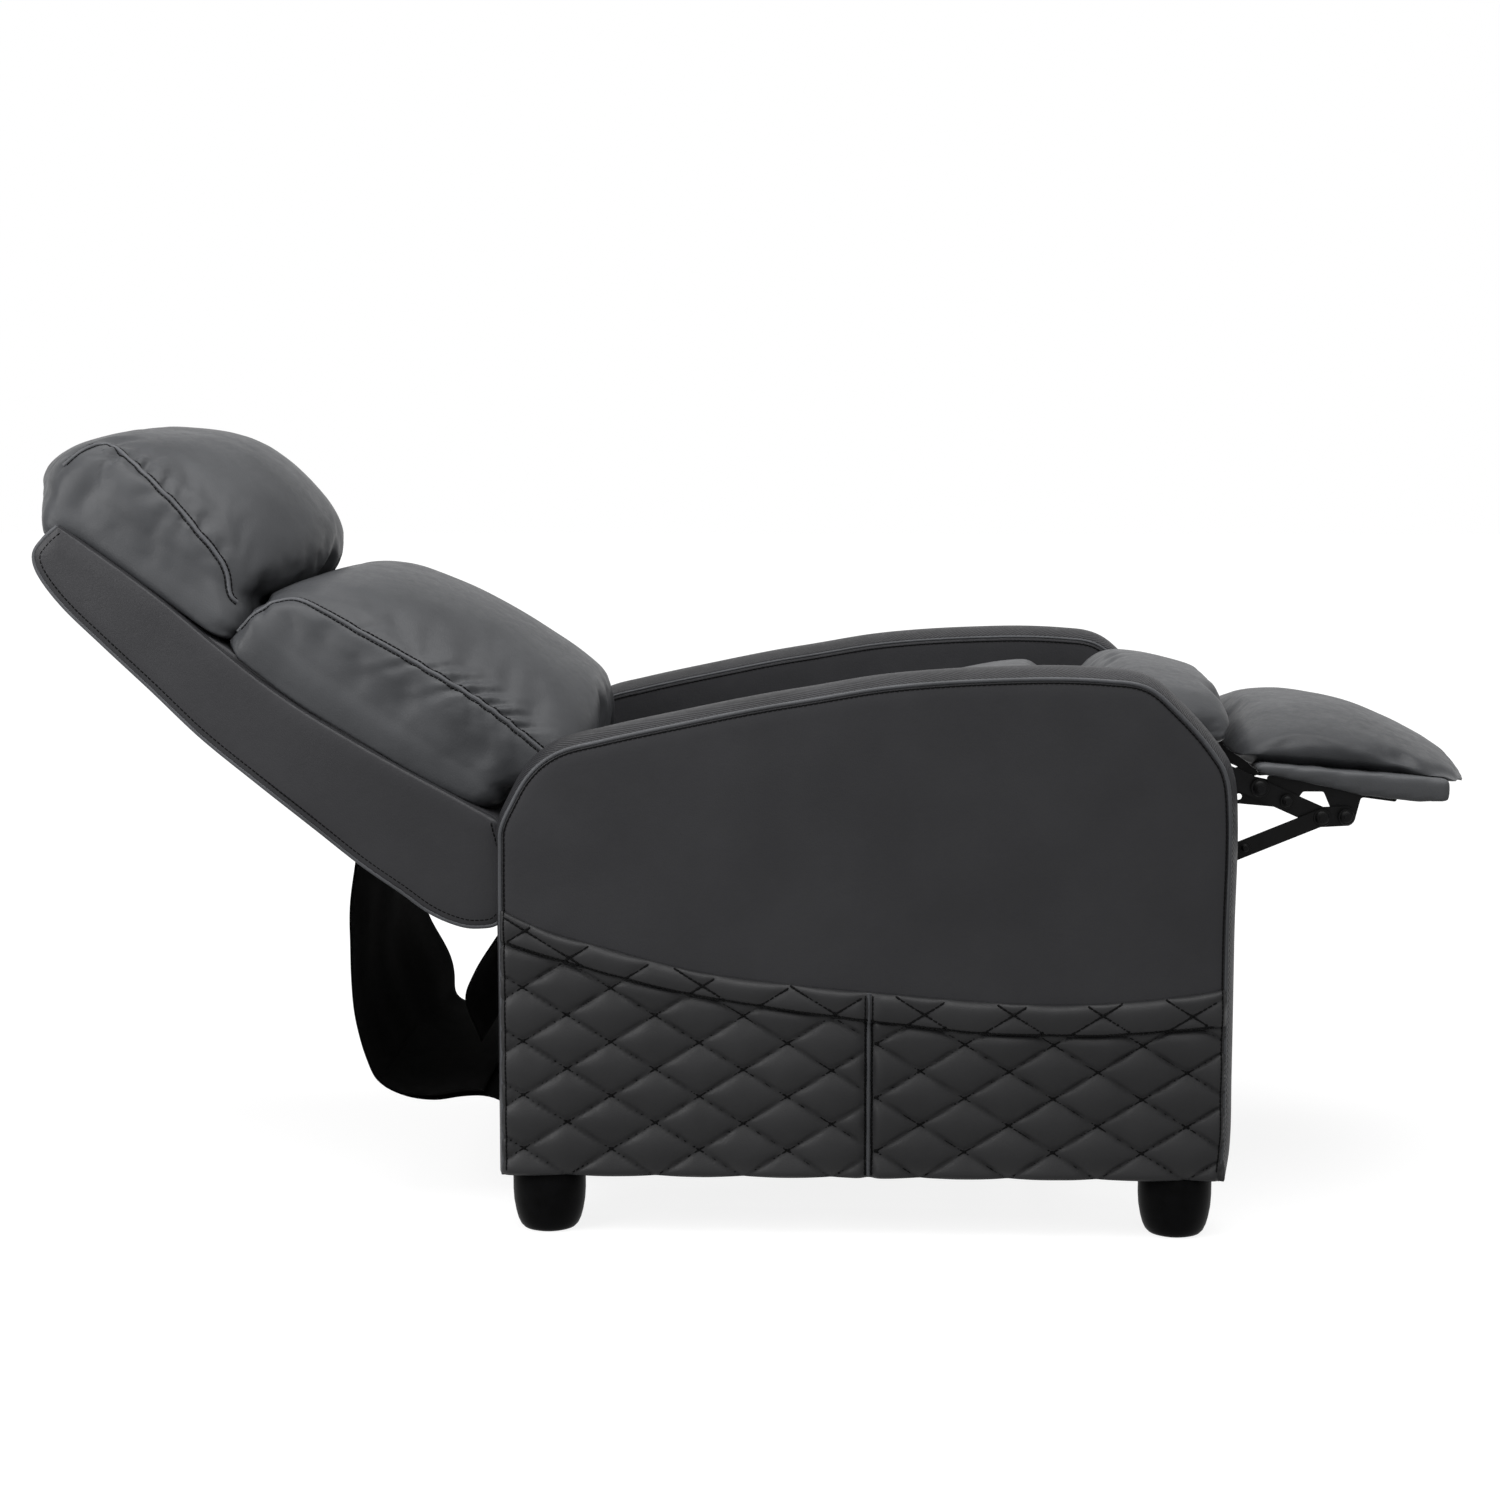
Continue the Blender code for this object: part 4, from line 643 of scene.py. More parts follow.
def bandSheet(line, nearY, farY, crownAt, edgeLift, core, cells, fullness=2.2):
    # A padded strip that follows a flat line, between two values of Y.
    outward = [Vector((-t.y, t.x)) for t in tangents(line)]

    def place(u, v):
        spot = pointAt(line, u)
        out = pointAt(outward, u).normalized()
        across = 2 * v - 1
        lift = edgeLift + crownAt(out) * (1 - abs(across) ** fullness)
        where = spot + out * lift
        return Vector((where.x, nearY + (farY - nearY) * v, where.y))

    return bentSheet(cells[0], cells[1], place, (lengthOf(line), abs(farY - nearY)), core)


def latticeRuns(shift, lower, upper):
    # Stitch rows along the quilt's two sets of slanting seams, kept between two heights.
    length, height = arm["diamond"]
    originX = armLow.x + arm["diamondCorner"][0] + shift[0]
    originZ = armLow.z + arm["diamondCorner"][1] + shift[1]
    runs = []
    for slope in (1, -1):
        for k in range(-lattice["rows"], lattice["rows"] + 1):
            run = []
            for i in range(lattice["spots"]):
                x = armLow.x + lattice["sideGap"] + i * lattice["step"]
                z = originZ + slope * (x - originX) / length * height + k * height
                inside = lower(x) + lattice["lowGap"] < z < upper(x) - lattice["topGap"]
                inside = inside and x < armHigh.x - lattice["frontGap"]
                if inside and abs(x - armLow.x - arm["dividerX"]) >= lattice["sideGap"]:
                    run.append((x, z))
                else:
                    runs.append(run)
                    run = []
            runs.append(run)
    return [run for run in runs if len(run) > lattice["shortest"]]


def buildArm(label, nodeSide, side):
    core = (armLow.x / 2 + armHigh.x / 2, side * (armSkin + armInner) / 2, (armLow.z + armHigh.z) / 2)

    # The frame and its foam, under the covers, closed below by a dust cover.
    shape = bmesh.new()
    inset = moved(armOutline, -arm["coreInset"])
    inset = [p for i, p in enumerate(inset) if i % 4 == 0 or i == len(armOutline) - 1]
    inner = side * (armInner + arm["coreGap"])
    verts = [shape.verts.new((p.x, inner, max(p.y, armLow.z + 0.0008))) for p in inset]
    face = shape.faces.new(verts)
    raised = bmesh.ops.extrude_face_region(shape, geom=[face])
    top = [item for item in raised["geom"] if isinstance(item, bmesh.types.BMVert)]
    bmesh.ops.translate(shape, verts=top, vec=(0, side * (armSkin - armInner - arm["coreSpare"]), 0))
    bmesh.ops.remove_doubles(shape, verts=shape.verts, dist=1e-5)
    newPiece(f"armCore{label}", shapeMesh(shape), dustFelt, "base", [f"arm_body_{nodeSide}"])

    # Plain side panel, quilted hem and quilted lower panel.
    def bottom(x):
        return armLow.z + arm["floorGap"]

    panel = sideSheet(side, lambda x: hemTopAt(x) - arm["panelTuck"], armTopAt, panelLift, armSkin,
                      arm["cell"])
    hem = sideSheet(side, hemBottomAt, lambda x: min(hemTopAt(x), armTopAt(x)), hemLift, armSkin,
                    arm["hemCell"])
    quilt = sideSheet(side, bottom, lambda x: hemBottomAt(x) + arm["quiltTuck"], quiltLift, armSkin,
                      arm["quiltCell"])
    outer = (
        newPiece(f"sidePanel{label}", panel, smoothLeather, "base"),
        newPiece(f"quiltedHem{label}", hem, quiltedLeather, "base", [f"panel_hem_{nodeSide}"]),
        newPiece(f"quiltedPanel{label}", quilt, quiltedLeather, "base",
                 [f"quilt_panel_{nodeSide}"]),
    )
    for piece in outer:
        thicken(piece, arm["wall"])

    # Inner side, which faces the seat.
    def innerLift(x, z):
        return -(armInner + arm["innerEdge"] * (1 - rounded(edgeDistance(x, z), 0.014)) + 0.0004)

    inside = sideSheet(-side, bottom, armTopAt, innerLift, 0.0, arm["innerCell"])
    # Its lift is measured from the middle plane, so the sheet only has to turn to face the seat.
    cover = newPiece(f"innerPanel{label}", inside, smoothLeather, "base",
                     [f"arm_inner_panel_{nodeSide}"])
    if side * sum(p.normal.y for p in cover.data.polygons) > 0:
        cover.data.flip_normals()
    thicken(cover, arm["wall"] / 2)

    # Ribbed strip over the rear, the top and the front.
    near = side * (armInner + arm["bandGaps"][0])
    far = side * (armSkin + arm["bandGaps"][1])

    def crown(out):
        level = arm["bandFrontCrown"] if out.x > 0 else arm["bandSideCrown"]
        return level + (arm["bandCrown"] - level) * max(out.y, 0)

    strip = bandSheet(armOutline, near, far, crown, arm["bandEdge"], core, arm["bandCells"])
    band = newPiece(f"ribbedStrip{label}", strip, ribbedLeather, "base",
                    [f"arm_top_band_{nodeSide}"])
    thicken(band, arm["bandWall"])

    # Ridge seams with their stitch rows.
    def coverY(x, z):
        lift = panelLift if z > hemTopAt(x) else hemLift if z > hemBottomAt(x) else quiltLift
        return armSkin + lift(x, z)

    def onCover(line, rise=0.0):
        return [Vector((p[0], side * (coverY(p[0], p[1]) + rise), p[1])) for p in line]

    ridgeLine, innerLine = ([Vector((p.x, side * y, p.y)) for p in moved(armOutline, -arm["ridgeInset"])]
                            for y in (armSkin + arm["seamLift"], armInner + arm["innerSeamLift"]))
    dividerX = armLow.x + arm["dividerX"]
    dividerTop = hemTopAt(dividerX) - 0.001
    upright = evenly([Vector((dividerX, armLow.z + 0.003)), Vector((dividerX, dividerTop))], 0.003)
    dividerLine = []
    for p in upright:
        level = arm["dividerLift"] + (arm["dividerHemLift"] if p.y > hemBottomAt(p.x) else 0.0)
        dividerLine.append(Vector((p.x, side * (armSkin + level), p.y)))
    rows = []
    outward = (0, side, 0)
    stitchLine = [p for p in moved(armOutline, -arm["stitchInset"]) if p.y > armLow.z + 0.004]
    rows.append(onCover(stitchLine))
    rows.append([Vector((p.x, side * (armInner + arm["innerStitchLift"]), p.y))
                 for p in moved(armOutline, -arm["innerStitchInset"])])
    for shift in (-arm["dividerStitches"], arm["dividerStitches"]):
        rows.append(onCover([(p.x + shift, p.y) for p in upright]))
    hemRow = [(p.x, p.y + arm["hemStitchRise"]) for p in armHemBottom
              if armLow.x + 0.006 < p.x < armHigh.x - 0.007]
    rows.append(onCover(hemRow))
    quilting = []
    for shift, lower, upper in (
        ((0.0, 0.0), lambda x: armLow.z, hemBottomAt),
        (arm["hemShift"], hemBottomAt, hemTopAt),
    ):
        for run in latticeRuns(shift, lower, upper):
            quilting += stitchPaths(onCover(run, 0.0005), [outward] * len(run), quiltingLook)
    stitches = []
    for index, row in enumerate(rows):
        facing = (0, -side, 0) if index == 1 else outward
        stitches += stitchPaths(row, [facing] * len(row))
    ridges = tubeMesh([ridgeLine, dividerLine], arm["ridge"], 3)
    innerRidge = tubeMesh([innerLine], arm["innerRidge"], 3)
    seams = joinedMesh([(ridges, 0), (innerRidge, 0), (tubeMesh(stitches, stitchLook["radius"], 1), 1),
                        (tubeMesh(quilting, quiltingLook["radius"], 1), 1)])
    newPiece(f"armSeams{label}", seams, [highlightedSeamLeather, thread], "base")


for sideNames in sides:
    buildArm(*sideNames)
print("arms covered")


# Feet

foot = {
    "profileShares": (
        (0.30, 0.000), (0.62, 0.000), (0.72, 0.020), (0.80, 0.070), (0.87, 0.160), (0.93, 0.290),
        (0.98, 0.460), (1.00, 0.640), (1.00, 0.985), (0.985, 1.000), (0.0, 1.000),
    ),
    "turns": 56,
}


def buildFoot(node):
    low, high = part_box(node)
    middle = (low + high) / 2
    radius = (high.x - low.x) / 2
    shape = bmesh.new()
    height = high.z - low.z
    points = [shape.verts.new((radius * r, 0, low.z + height * h)) for r, h in foot["profileShares"]]
    points.insert(0, shape.verts.new((0, 0, low.z)))
    for a, b in zip(points, points[1:]):
        shape.edges.new((a, b))
    bmesh.ops.spin(shape, geom=shape.verts[:] + shape.edges[:], cent=(0, 0, 0), axis=(0, 0, 1),
                   angle=2 * math.pi, steps=foot["turns"], use_merge=True)
    bmesh.ops.remove_doubles(shape, verts=shape.verts, dist=1e-5)
    bmesh.ops.translate(shape, verts=shape.verts, vec=(middle.x, middle.y, 0))
    mesh = shapeMesh(shape)
    words = node.split("_")
    newPiece("foot" + "".join(w.capitalize() for w in words[1:]), mesh, mouldedPlastic, "base",
             [node])
    mesh.set_sharp_from_angle(angle=math.radians(40))


for node in ("foot_front_left", "foot_front_right", "foot_rear_left", "foot_rear_right"):
    buildFoot(node)
print("feet turned")


# The back's own directions and sizes

backFoot = Vector((-0.379, 0.439))
backSlope = math.radians(146.06)
backUp = Vector((math.cos(backSlope), math.sin(backSlope)))
backOut = Vector((backUp.y, -backUp.x))
upBack = (backUp.x, 0, backUp.y)
downBack = (-backUp.x, 0, -backUp.y)
outBack = (backOut.x, 0, backOut.y)
frameShift = armLow.x + 0.367       # the chair stands centred, and its sizes are drawn from this arm edge
backSize = (0.580, 0.175)


def onBack(shares):
    found = []
    for u, v in shares:
        p = backFoot + backUp * (u * backSize[0]) + backOut * (v * backSize[1])
        found.append(Vector((p.x + frameShift, p.y)))
    return found


def onNode(node, shares):
    low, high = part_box(node)
    return [Vector((low.x + u * (high.x - low.x), low.z + v * (high.z - low.z))) for u, v in shares]


# Back casing

casing = {
    "outlineShares": (
        (0.991, 0.000), (1.000, -0.114), (0.998, -0.240), (0.972, -0.314), (0.905, -0.394), (0.803, -0.457),
        (0.678, -0.526), (0.552, -0.600), (0.426, -0.640), (0.276, -0.680), (0.166, -0.709), (0.078, -0.714),
        (0.009, -0.720), (-0.050, -0.680), (-0.084, -0.617), (-0.105, -0.543), (-0.078, -0.257),
        (0.000, 0.000),
    ),
    "frontShares": (
        (0.000, 0.000), (0.100, -0.029), (0.205, -0.063), (0.314, -0.091), (0.422, -0.109), (0.514, -0.103),
        (0.619, -0.074), (0.750, -0.029), (0.845, -0.011), (0.991, 0.000),
    ),
    "lift": 0.0040,
    "edge": 0.020,
    "wave": 0.0008, "waveSize": 0.10,
    "rearCrown": 0.006, "rearLift": 0.0008,
    "ridge": 0.0024,
    "stitchInset": 0.0075, "stitchLift": 0.0028,
    "wall": 0.0020,
    "deckShare": -0.060,       # the cover under the cushions lies on the panel
    "deckInset": 0.0115,
    "deckFlatShare": 0.93,     # how much of its width lies flat before it turns down over the panel's sides
    "deckTurn": 0.013,
    "hemHalf": 0.2485,         # how far out the cushions' sides stand at their foot, just outside the panel
    "hemSink": 0.003, "hemDrop": 0.02, "hemInset": 0.010, "hemFade": 0.006,
    "wingCells": (170, 34), "rearCells": (170, 60), "deckCells": (100, 60),
}


def buildCasing():
    # The wings and the rear cover lie over the casing, and a ridge seam closes each corner between them.
    low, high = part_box("back_shell")
    halfWidth = high.y
    rearLine = smoothLine(casing["outlineShares"], 0.006)
    frontLine = smoothLine(casing["frontShares"], 0.006)
    headTip = max(range(len(rearLine)), key=lambda i: rearLine[i].x)
    footTip = min(range(len(rearLine)), key=lambda i: rearLine[i].x)
    rearAt = heightOf(rearLine[headTip:footTip + 1][::-1])
    frontAt = heightOf(rearLine[footTip:] + frontLine + rearLine[1:headTip + 1])
    around = [*rearLine, *frontLine]
    edgeTree = edgeTreeOf(onBack([(p.x, p.y) for p in around]))
    start = min(p.x for p in rearLine)
    end = max(p.x for p in rearLine)
    middle = onBack([(0.45, -0.3)])[0]
    for label, nodeSide, side in sides:
        def place(u, v):
            s = start + (end - start) * (1 - math.cos(math.pi * u)) / 2
            n = rearAt(s) + (frontAt(s) - rearAt(s)) * v
            p = onBack([(s, n)])[0]
            gap = edgeTree.find((p.x, p.y, 0))[2]
            lift = 0.0004 + casing["lift"] * rounded(gap, casing["edge"])
            lift += casing["wave"] * ripple(p.x, p.y, casing["waveSize"], 5.5)
            return Vector((p.x, side * (halfWidth + lift), p.y))

        mesh = bentSheet(*casing["wingCells"], place, backSize, (middle.x, 0, middle.y))
        wing = newPiece(f"backWing{label}", mesh, smoothLeather, "back")
        thicken(wing, casing["wall"])
    path = evenly(onBack([(p.x, p.y) for p in rearLine]), 0.004)
    if moved(path, 0.01)[len(path) // 2].x > path[len(path) // 2].x:
        path = path[::-1]
    mesh = bandSheet(path, -halfWidth, halfWidth, lambda out: casing["rearCrown"], casing["rearLift"],
                     (middle.x, 0, middle.y), casing["rearCells"], 4.0)
    cover = newPiece("backRearCover", mesh, smoothLeather, "back")
    thicken(cover, casing["wall"])
    deckPath = evenly(onBack([(p.x, max(p.y, casing["deckShare"])) for p in frontLine]), 0.006)[::-1]
    deckHalf = halfWidth - casing["deckInset"]
    deckOut = [Vector((-t.y, t.x)) for t in tangents(deckPath)]

    def lay(u, v):
        # The cover lies on the panel and turns down over its sides.
        out = pointAt(deckOut, u).normalized()
        across = abs(2 * v - 1) / casing["deckFlatShare"]
        turned = casing["deckTurn"] * min(max(across - 1, 0) / (1 / casing["deckFlatShare"] - 1), 1)
        spot = pointAt(deckPath, u) - out * turned
        return Vector((spot.x, math.copysign(deckHalf * min(across, 1), v - 0.5), spot.y))

    frontMesh = bentSheet(*casing["deckCells"], lay, (backSize[0], 2 * deckHalf),
                          (middle.x, 0, middle.y - 0.3))
    front = newPiece("backFrontCover", frontMesh, smoothLeather, "back")
    thicken(front, casing["wall"] / 2)
    ridges = []
    stitches = []
    for side in (1, -1):
        ridges.append([Vector((p.x, side * (halfWidth + 0.0004), p.y)) for p in moved(path, 0.0002)])
        row = [Vector((p.x, side * (halfWidth + casing["stitchLift"]), p.y))
               for p in moved(path, -casing["stitchInset"])]
        stitches += stitchPaths(row, [(0, side, 0)] * len(row))
    seams = joinedMesh([(tubeMesh(ridges, casing["ridge"], 3), 0),
                        (tubeMesh(stitches, stitchLook["radius"], 1), 1)])
    newPiece("backSeams", seams, [highlightedSeamLeather, thread], "back")


buildCasing()
print("back casing covered")


# Padded cushions

cushions = {
    "headCushion": {
        "node": "head_cushion", "body": "back", "voxel": 0.0052, "drawIn": 0.007, "cap": 0.012,
        "axis": (backOut.x, 0, backOut.y), "pinBelow": 0.14, "fill": 0.85,
        "seam": onBack(((0.634, 0.165), (0.644, 0.215), (0.654, 0.262), (0.670, 0.318), (0.704, 0.385),
                        (0.764, 0.445), (0.834, 0.508), (0.893, 0.540), (0.936, 0.560), (1.014, 0.560),
                        (1.048, 0.509), (1.070, 0.300))),
        "puckers": ((0.46, 1, 0.050, 0.0035), (0.56, 1, 0.060, 0.0042), (0.68, -1, 0.070, 0.0048),
                    (0.63, 1, 0.045, 0.0034), (0.74, 1, 0.050, 0.0040), (0.80, -1, 0.055, 0.0042),
                    (0.28, 1, 0.040, 0.0022), (0.18, 1, 0.035, 0.0020), (0.35, -1, 0.045, 0.0022)),
        "slant": 0.5,
        "reach": ((downBack, 0.13, 0.034, 0.05, 0.15),),
        "fit": ((upBack, -0.009, -0.0195), (outBack, 0.0, -0.003)),
        "press": (outBack, upBack, 0.0, -0.009),
        "square": 0.34, "squareEnds": (True, False),
    },
    "backCushion": {
        "node": "back_cushion", "body": "back", "voxel": 0.0058, "drawIn": 0.007, "cap": 0.015,
        "axis": (backOut.x, 0, backOut.y), "pinBelow": 0.14, "fill": 0.85,
        "seam": onBack(((0.006, 0.531), (0.086, 0.554), (0.155, 0.560), (0.243, 0.543), (0.328, 0.520),
                        (0.412, 0.491), (0.498, 0.463), (0.557, 0.417), (0.588, 0.326), (0.612, 0.206),
                        (0.628, 0.060))),
        "puckers": ((0.10, 1, 0.050, 0.0034), (0.15, 1, 0.062, 0.0042), (0.20, 1, 0.070, 0.0044),
                    (0.25, 1, 0.078, 0.0040), (0.31, 1, 0.070, 0.0034), (0.38, 1, 0.060, 0.0026),
                    (0.28, -1, 0.060, 0.0026), (0.42, -1, 0.060, 0.0022), (0.60, 1, 0.045, 0.0016),
                    (0.88, -1, 0.045, 0.0022)),
        "slant": -0.9,
        "reach": ((downBack, 0.30, 0.064, 0.22, 0.67), (upBack, 0.08, 0.010, 0.0, 0.05)),
        "press": (outBack, upBack, 0.009, -0.004),
        "square": 0.34, "squareEnds": (False, True),
    },
    "seatCushion": {
        "node": "seat_cushion", "body": "seat", "voxel": 0.0068, "drawIn": 0.006, "cap": 0.012,
        "axis": (0, 0, 1), "pinBelow": 0.20, "fill": 0.8,
        "seam": onNode("seat_cushion", ((0.02, 0.36), (0.10, 0.47), (0.50, 0.66), (0.90, 0.83),
                                        (0.985, 0.86))),
        "puckers": tuple((share, 1, 0.05, 0.003) for share in (0.2, 0.45, 0.7, 0.9)),
        "slant": 0.3,
    },
    "frontPad": {
        "node": "front_pad", "body": "seat", "voxel": 0.0050, "drawIn": 0.005, "cap": 0.007,
        "axis": (0, 0, 1), "pinBelow": 0.22, "fill": 0.8,
        "seam": None, "puckers": (), "slant": 0.0,
        "reach": (((1, 0, 0), 0.10, -0.036, 0.70, 0.20),),
        "fit": (((1, 0, 0), 0.0, 0.0), ((0, 0, 1), 0.0, -0.001)),
    },
    "footrestPad": {
        "node": "footrest_cushion", "body": "footrest", "voxel": 0.0052, "drawIn": 0.005, "cap": 0.007,
        "axis": (0, 0, 1), "pinBelow": 0.10, "fill": 0.75,
        "seam": None, "puckers": (), "slant": 0.0,
        "reach": (((-1, 0, 0), 0.09, 0.046, 0.80, 0.25), ((1, 0, 0), 0.05, -0.013, 0.20, 0.0)),
        "fit": (((1, 0, 0), 0.0, -0.011), ((0, 0, 1), 0.0, 0.0)),
        "press": ((0, 0, 1), (1, 0, 0), 0.006, 0.0215),
    },
}


sewing = {
    "step": 0.003, "dip": 0.0026, "dipWidth": 0.0085,       # the seam draws the cover in along a soft groove
    "puckerWidth": 0.0055, "puckerSpread": 0.10, "puckerBulge": 0.45,
    "puckerGap": 0.006, "puckerFade": 1.6, "puckerSpacing": 1.9, "puckerFarShare": 0.25,
    "ripple": 0.0011, "rippleScales": (9.0, 23.0), "fineShare": 0.5,
    "rayFrom": 0.6, "leastY": 0.15,        # a seam is found from outside, and only on the pad's sides
    # Where the stuffing can't push: along the seams and near what the pad rests on.
    "holdReach": 0.011, "holdFade": 0.004, "drawReach": 0.05, "restFade": 0.06,
    "ridge": 0.0024, "ridgeLift": 0.0004, "stitchShift": 0.0040, "stitchRadius": 0.0007,
}
stuffing = {"frames": 20, "pressure": 4.0, "quality": 5, "stiffness": 12, "bending": 0.4, "shrink": -0.03}


def treeOf(mesh):
    shape = bmesh.new()
    shape.from_mesh(mesh)
    tree = BVHTree.FromBMesh(shape)
    shape.free()
    return tree


def seamOnSide(tree, line, side):
    # Shoots each point of the side view at the pad from outside, and keeps those that land.
    found = []
    for p in line:
        hit = tree.ray_cast(Vector((p.x, side * sewing["rayFrom"], p.y)), Vector((0, -side, 0)))[0]
        if hit is not None and side * hit.y > sewing["leastY"]:
            found.append(hit)
    return found


def nearest(points, line):
    # For each point: the distance to the line and the number of the line's closest point.
    table = np.array(line)
    best = np.full(len(points), 1e9)
    index = np.zeros(len(points), int)
    for start in range(0, len(points), 20000):
        part = points[start:start + 20000]
        gaps = ((part[:, None, :] - table[None, :, :]) ** 2).sum(axis=2)
        index[start:start + 20000] = gaps.argmin(axis=1)
        best[start:start + 20000] = np.sqrt(gaps.min(axis=1))
    return best, index


def startCushion(name, settings):
    piece = softCopy(name, settings["node"], cushionLeather, settings["voxel"], 8)
    even = piece.data
    points = verticesOf(even)
    axis = np.array(settings["axis"])
    height = points @ axis
    share = (height - height.min()) / (height.max() - height.min())
    for direction, span, distance, fromShare, toShare in settings.get("reach", ()):
        # An end that bulges further out than its plain solid, fully so past toShare of the pad's height.
        along = points @ np.array(direction)
        close = np.clip((along - along.max() + span) / span, 0, 1)
        rise = np.clip((share - fromShare) / (toShare - fromShare), 0, 1)
        points = points + np.array(direction) * (distance * close * rise)[:, None]
    setVertices(even, points)
    normals = normalsOf(even)
    hold = np.clip((settings["pinBelow"] + sewing["restFade"] - share) / sewing["restFade"], 0, 1)
    settings["lines"] = []
    away = np.ones(len(points))
    if settings["seam"]:
        tree = treeOf(even)
        line = smoothLine(settings["seam"], 0.005)
        for side in (1, -1):
            seam = seamOnSide(tree, line, side)
            settings["lines"].append(seam)
            gap, _ = nearest(points, seam)
            hold = np.maximum(hold, np.clip((sewing["holdReach"] - gap) / sewing["holdFade"], 0, 1))
            away = np.minimum(away, np.clip(gap / sewing["drawReach"], 0, 1))
    # The stuffing swells the cover, so it starts a little inside, least at its seams and where it rests.
    draw = settings["drawIn"] * away * (1 - hold)
    setVertices(even, points - normals * draw[:, None])
    group = piece.vertex_groups.new(name="held")
    for level in range(1, 11):
        chosen = np.nonzero(np.round(hold * 10) == level)[0]
        if len(chosen):
            group.add(chosen.tolist(), level / 10, "REPLACE")
    settings["piece"] = piece
    settings["start"] = verticesOf(even)


def addStuffing(settings):
    cloth = settings["piece"].modifiers.new("stuffing", "CLOTH")
    cloth.settings.use_pressure = True
    cloth.settings.uniform_pressure_force = stuffing["pressure"]
    cloth.settings.effector_weights.gravity = 0
    cloth.settings.vertex_group_mass = "held"
    cloth.settings.quality = stuffing["quality"]
    cloth.settings.tension_stiffness = stuffing["stiffness"]
    cloth.settings.compression_stiffness = stuffing["stiffness"]
    cloth.settings.bending_stiffness = stuffing["bending"]
    cloth.settings.shrink_min = stuffing["shrink"]
    cloth.collision_settings.use_collision = False
    cloth.point_cache.frame_start = 1
    cloth.point_cache.frame_end = stuffing["frames"]


def swell(allSettings):
    for settings in allSettings:
        addStuffing(settings)
    scene = bpy.context.scene
    scene.frame_start = 1
    scene.frame_end = stuffing["frames"]
    for step in range(1, stuffing["frames"] + 1):
        scene.frame_set(step)
    for settings in allSettings:
        piece = settings["piece"]
        swollen = evaluatedMesh(piece)
        settings["swollen"] = verticesOf(swollen)
        bpy.data.meshes.remove(swollen)
        piece.modifiers.clear()
    scene.frame_set(1)


def fitted(spots, cover, source, settings):
    # Moves the spots so that the stuffed cover comes back to its solid's reach, and presses its crown down.
    for direction, lower, upper in settings.get("fit", ()):
        way = np.array(direction)
        low, high = (cover @ way).min(), (cover @ way).max()
        wantedLow = (source @ way).min() + lower
        wantedHigh = (source @ way).max() + upper
        stretch = (wantedHigh - wantedLow) / (high - low)
        spots = spots + way * (wantedLow + (spots @ way - low) * stretch - spots @ way)[:, None]
        cover = cover + way * (wantedLow + (cover @ way - low) * stretch - cover @ way)[:, None]
    if "press" in settings:
        direction, along, atLow, atHigh = settings["press"]
        way, run = np.array(direction), np.array(along)
        height = ((spots @ way) - (cover @ way).min()) / np.ptp(cover @ way)
        place = ((spots @ run) - (cover @ run).min()) / np.ptp(cover @ run)
        spots = spots - way * ((atLow + (atHigh - atLow) * place) * np.clip(height, 0, 1) ** 0.7)[:, None]
    return spots


def squareBase(points, settings):
    # Near what it rests on, the cover runs straight down. On the back its hem reaches the casing's edge.
    way = np.array(settings["axis"])
    run = np.array(upBack if settings["body"] == "back" else (1, 0, 0))
    height = points @ way
    share = (height - height.min()) / np.ptp(height)
    floor = settings["square"]
    along = points @ run
    wide = np.abs(points[:, 1])
    steps = 13
    levels = np.linspace(0, floor, steps + 1)
    extents = []
    for level in levels:
        near = np.abs(share - level) < 0.6 * floor / steps
        extents.append((wide[near].max(), along[near].min(), along[near].max()))
    extents = np.array(extents)
    middle = (extents[-1, 1] + extents[-1, 2]) / 2
    growWide = np.interp(share, levels, extents[-1, 0] / extents[:, 0])
    growLow = np.interp(share, levels, (extents[-1, 1] - middle) / (extents[:, 1] - middle))
    growHigh = np.interp(share, levels, (extents[-1, 2] - middle) / (extents[:, 2] - middle))
    below = share < floor
    stretch = np.where(along < middle, growLow if settings["squareEnds"][0] else 1.0,
                       growHigh if settings["squareEnds"][1] else 1.0)
    reached = np.clip(middle + (along - middle) * stretch, extents[-1, 1], extents[-1, 2])
    placed = points + run * ((reached - along) * below)[:, None]
    widened = np.minimum(wide * growWide, np.maximum(wide, extents[-1, 0]))
    if settings["body"] == "back":
        spare = max(0.0, casing["hemHalf"] / extents[-1, 0] - 1)
        widened = widened * (1 + spare * np.clip(1.4 * (1 - share / floor), 0, 1))
    placed[:, 1] = np.sign(points[:, 1]) * np.where(below, widened, wide)
    if settings["body"] == "back":
        corner = Vector((backFoot.x + frameShift, 0, backFoot.y))
        edge = heightOf(casing["frontShares"])
        shares = (along - corner @ Vector(upBack)) / backSize[0]
        edgeHeight = np.array([edge(u) for u in shares]) * backSize[1]
        foot = corner @ Vector(outBack)
        drop = np.clip(placed @ way - foot - edgeHeight + casing["hemSink"], 0, casing["hemDrop"])
        outer = np.abs(placed[:, 1]) - casing["hemHalf"] + casing["hemInset"]
        outer = np.clip(outer / casing["hemFade"], 0, 1)
        placed -= way * (drop * outer * np.clip(1 - share / (0.5 * floor), 0, 1))[:, None]
    return placed


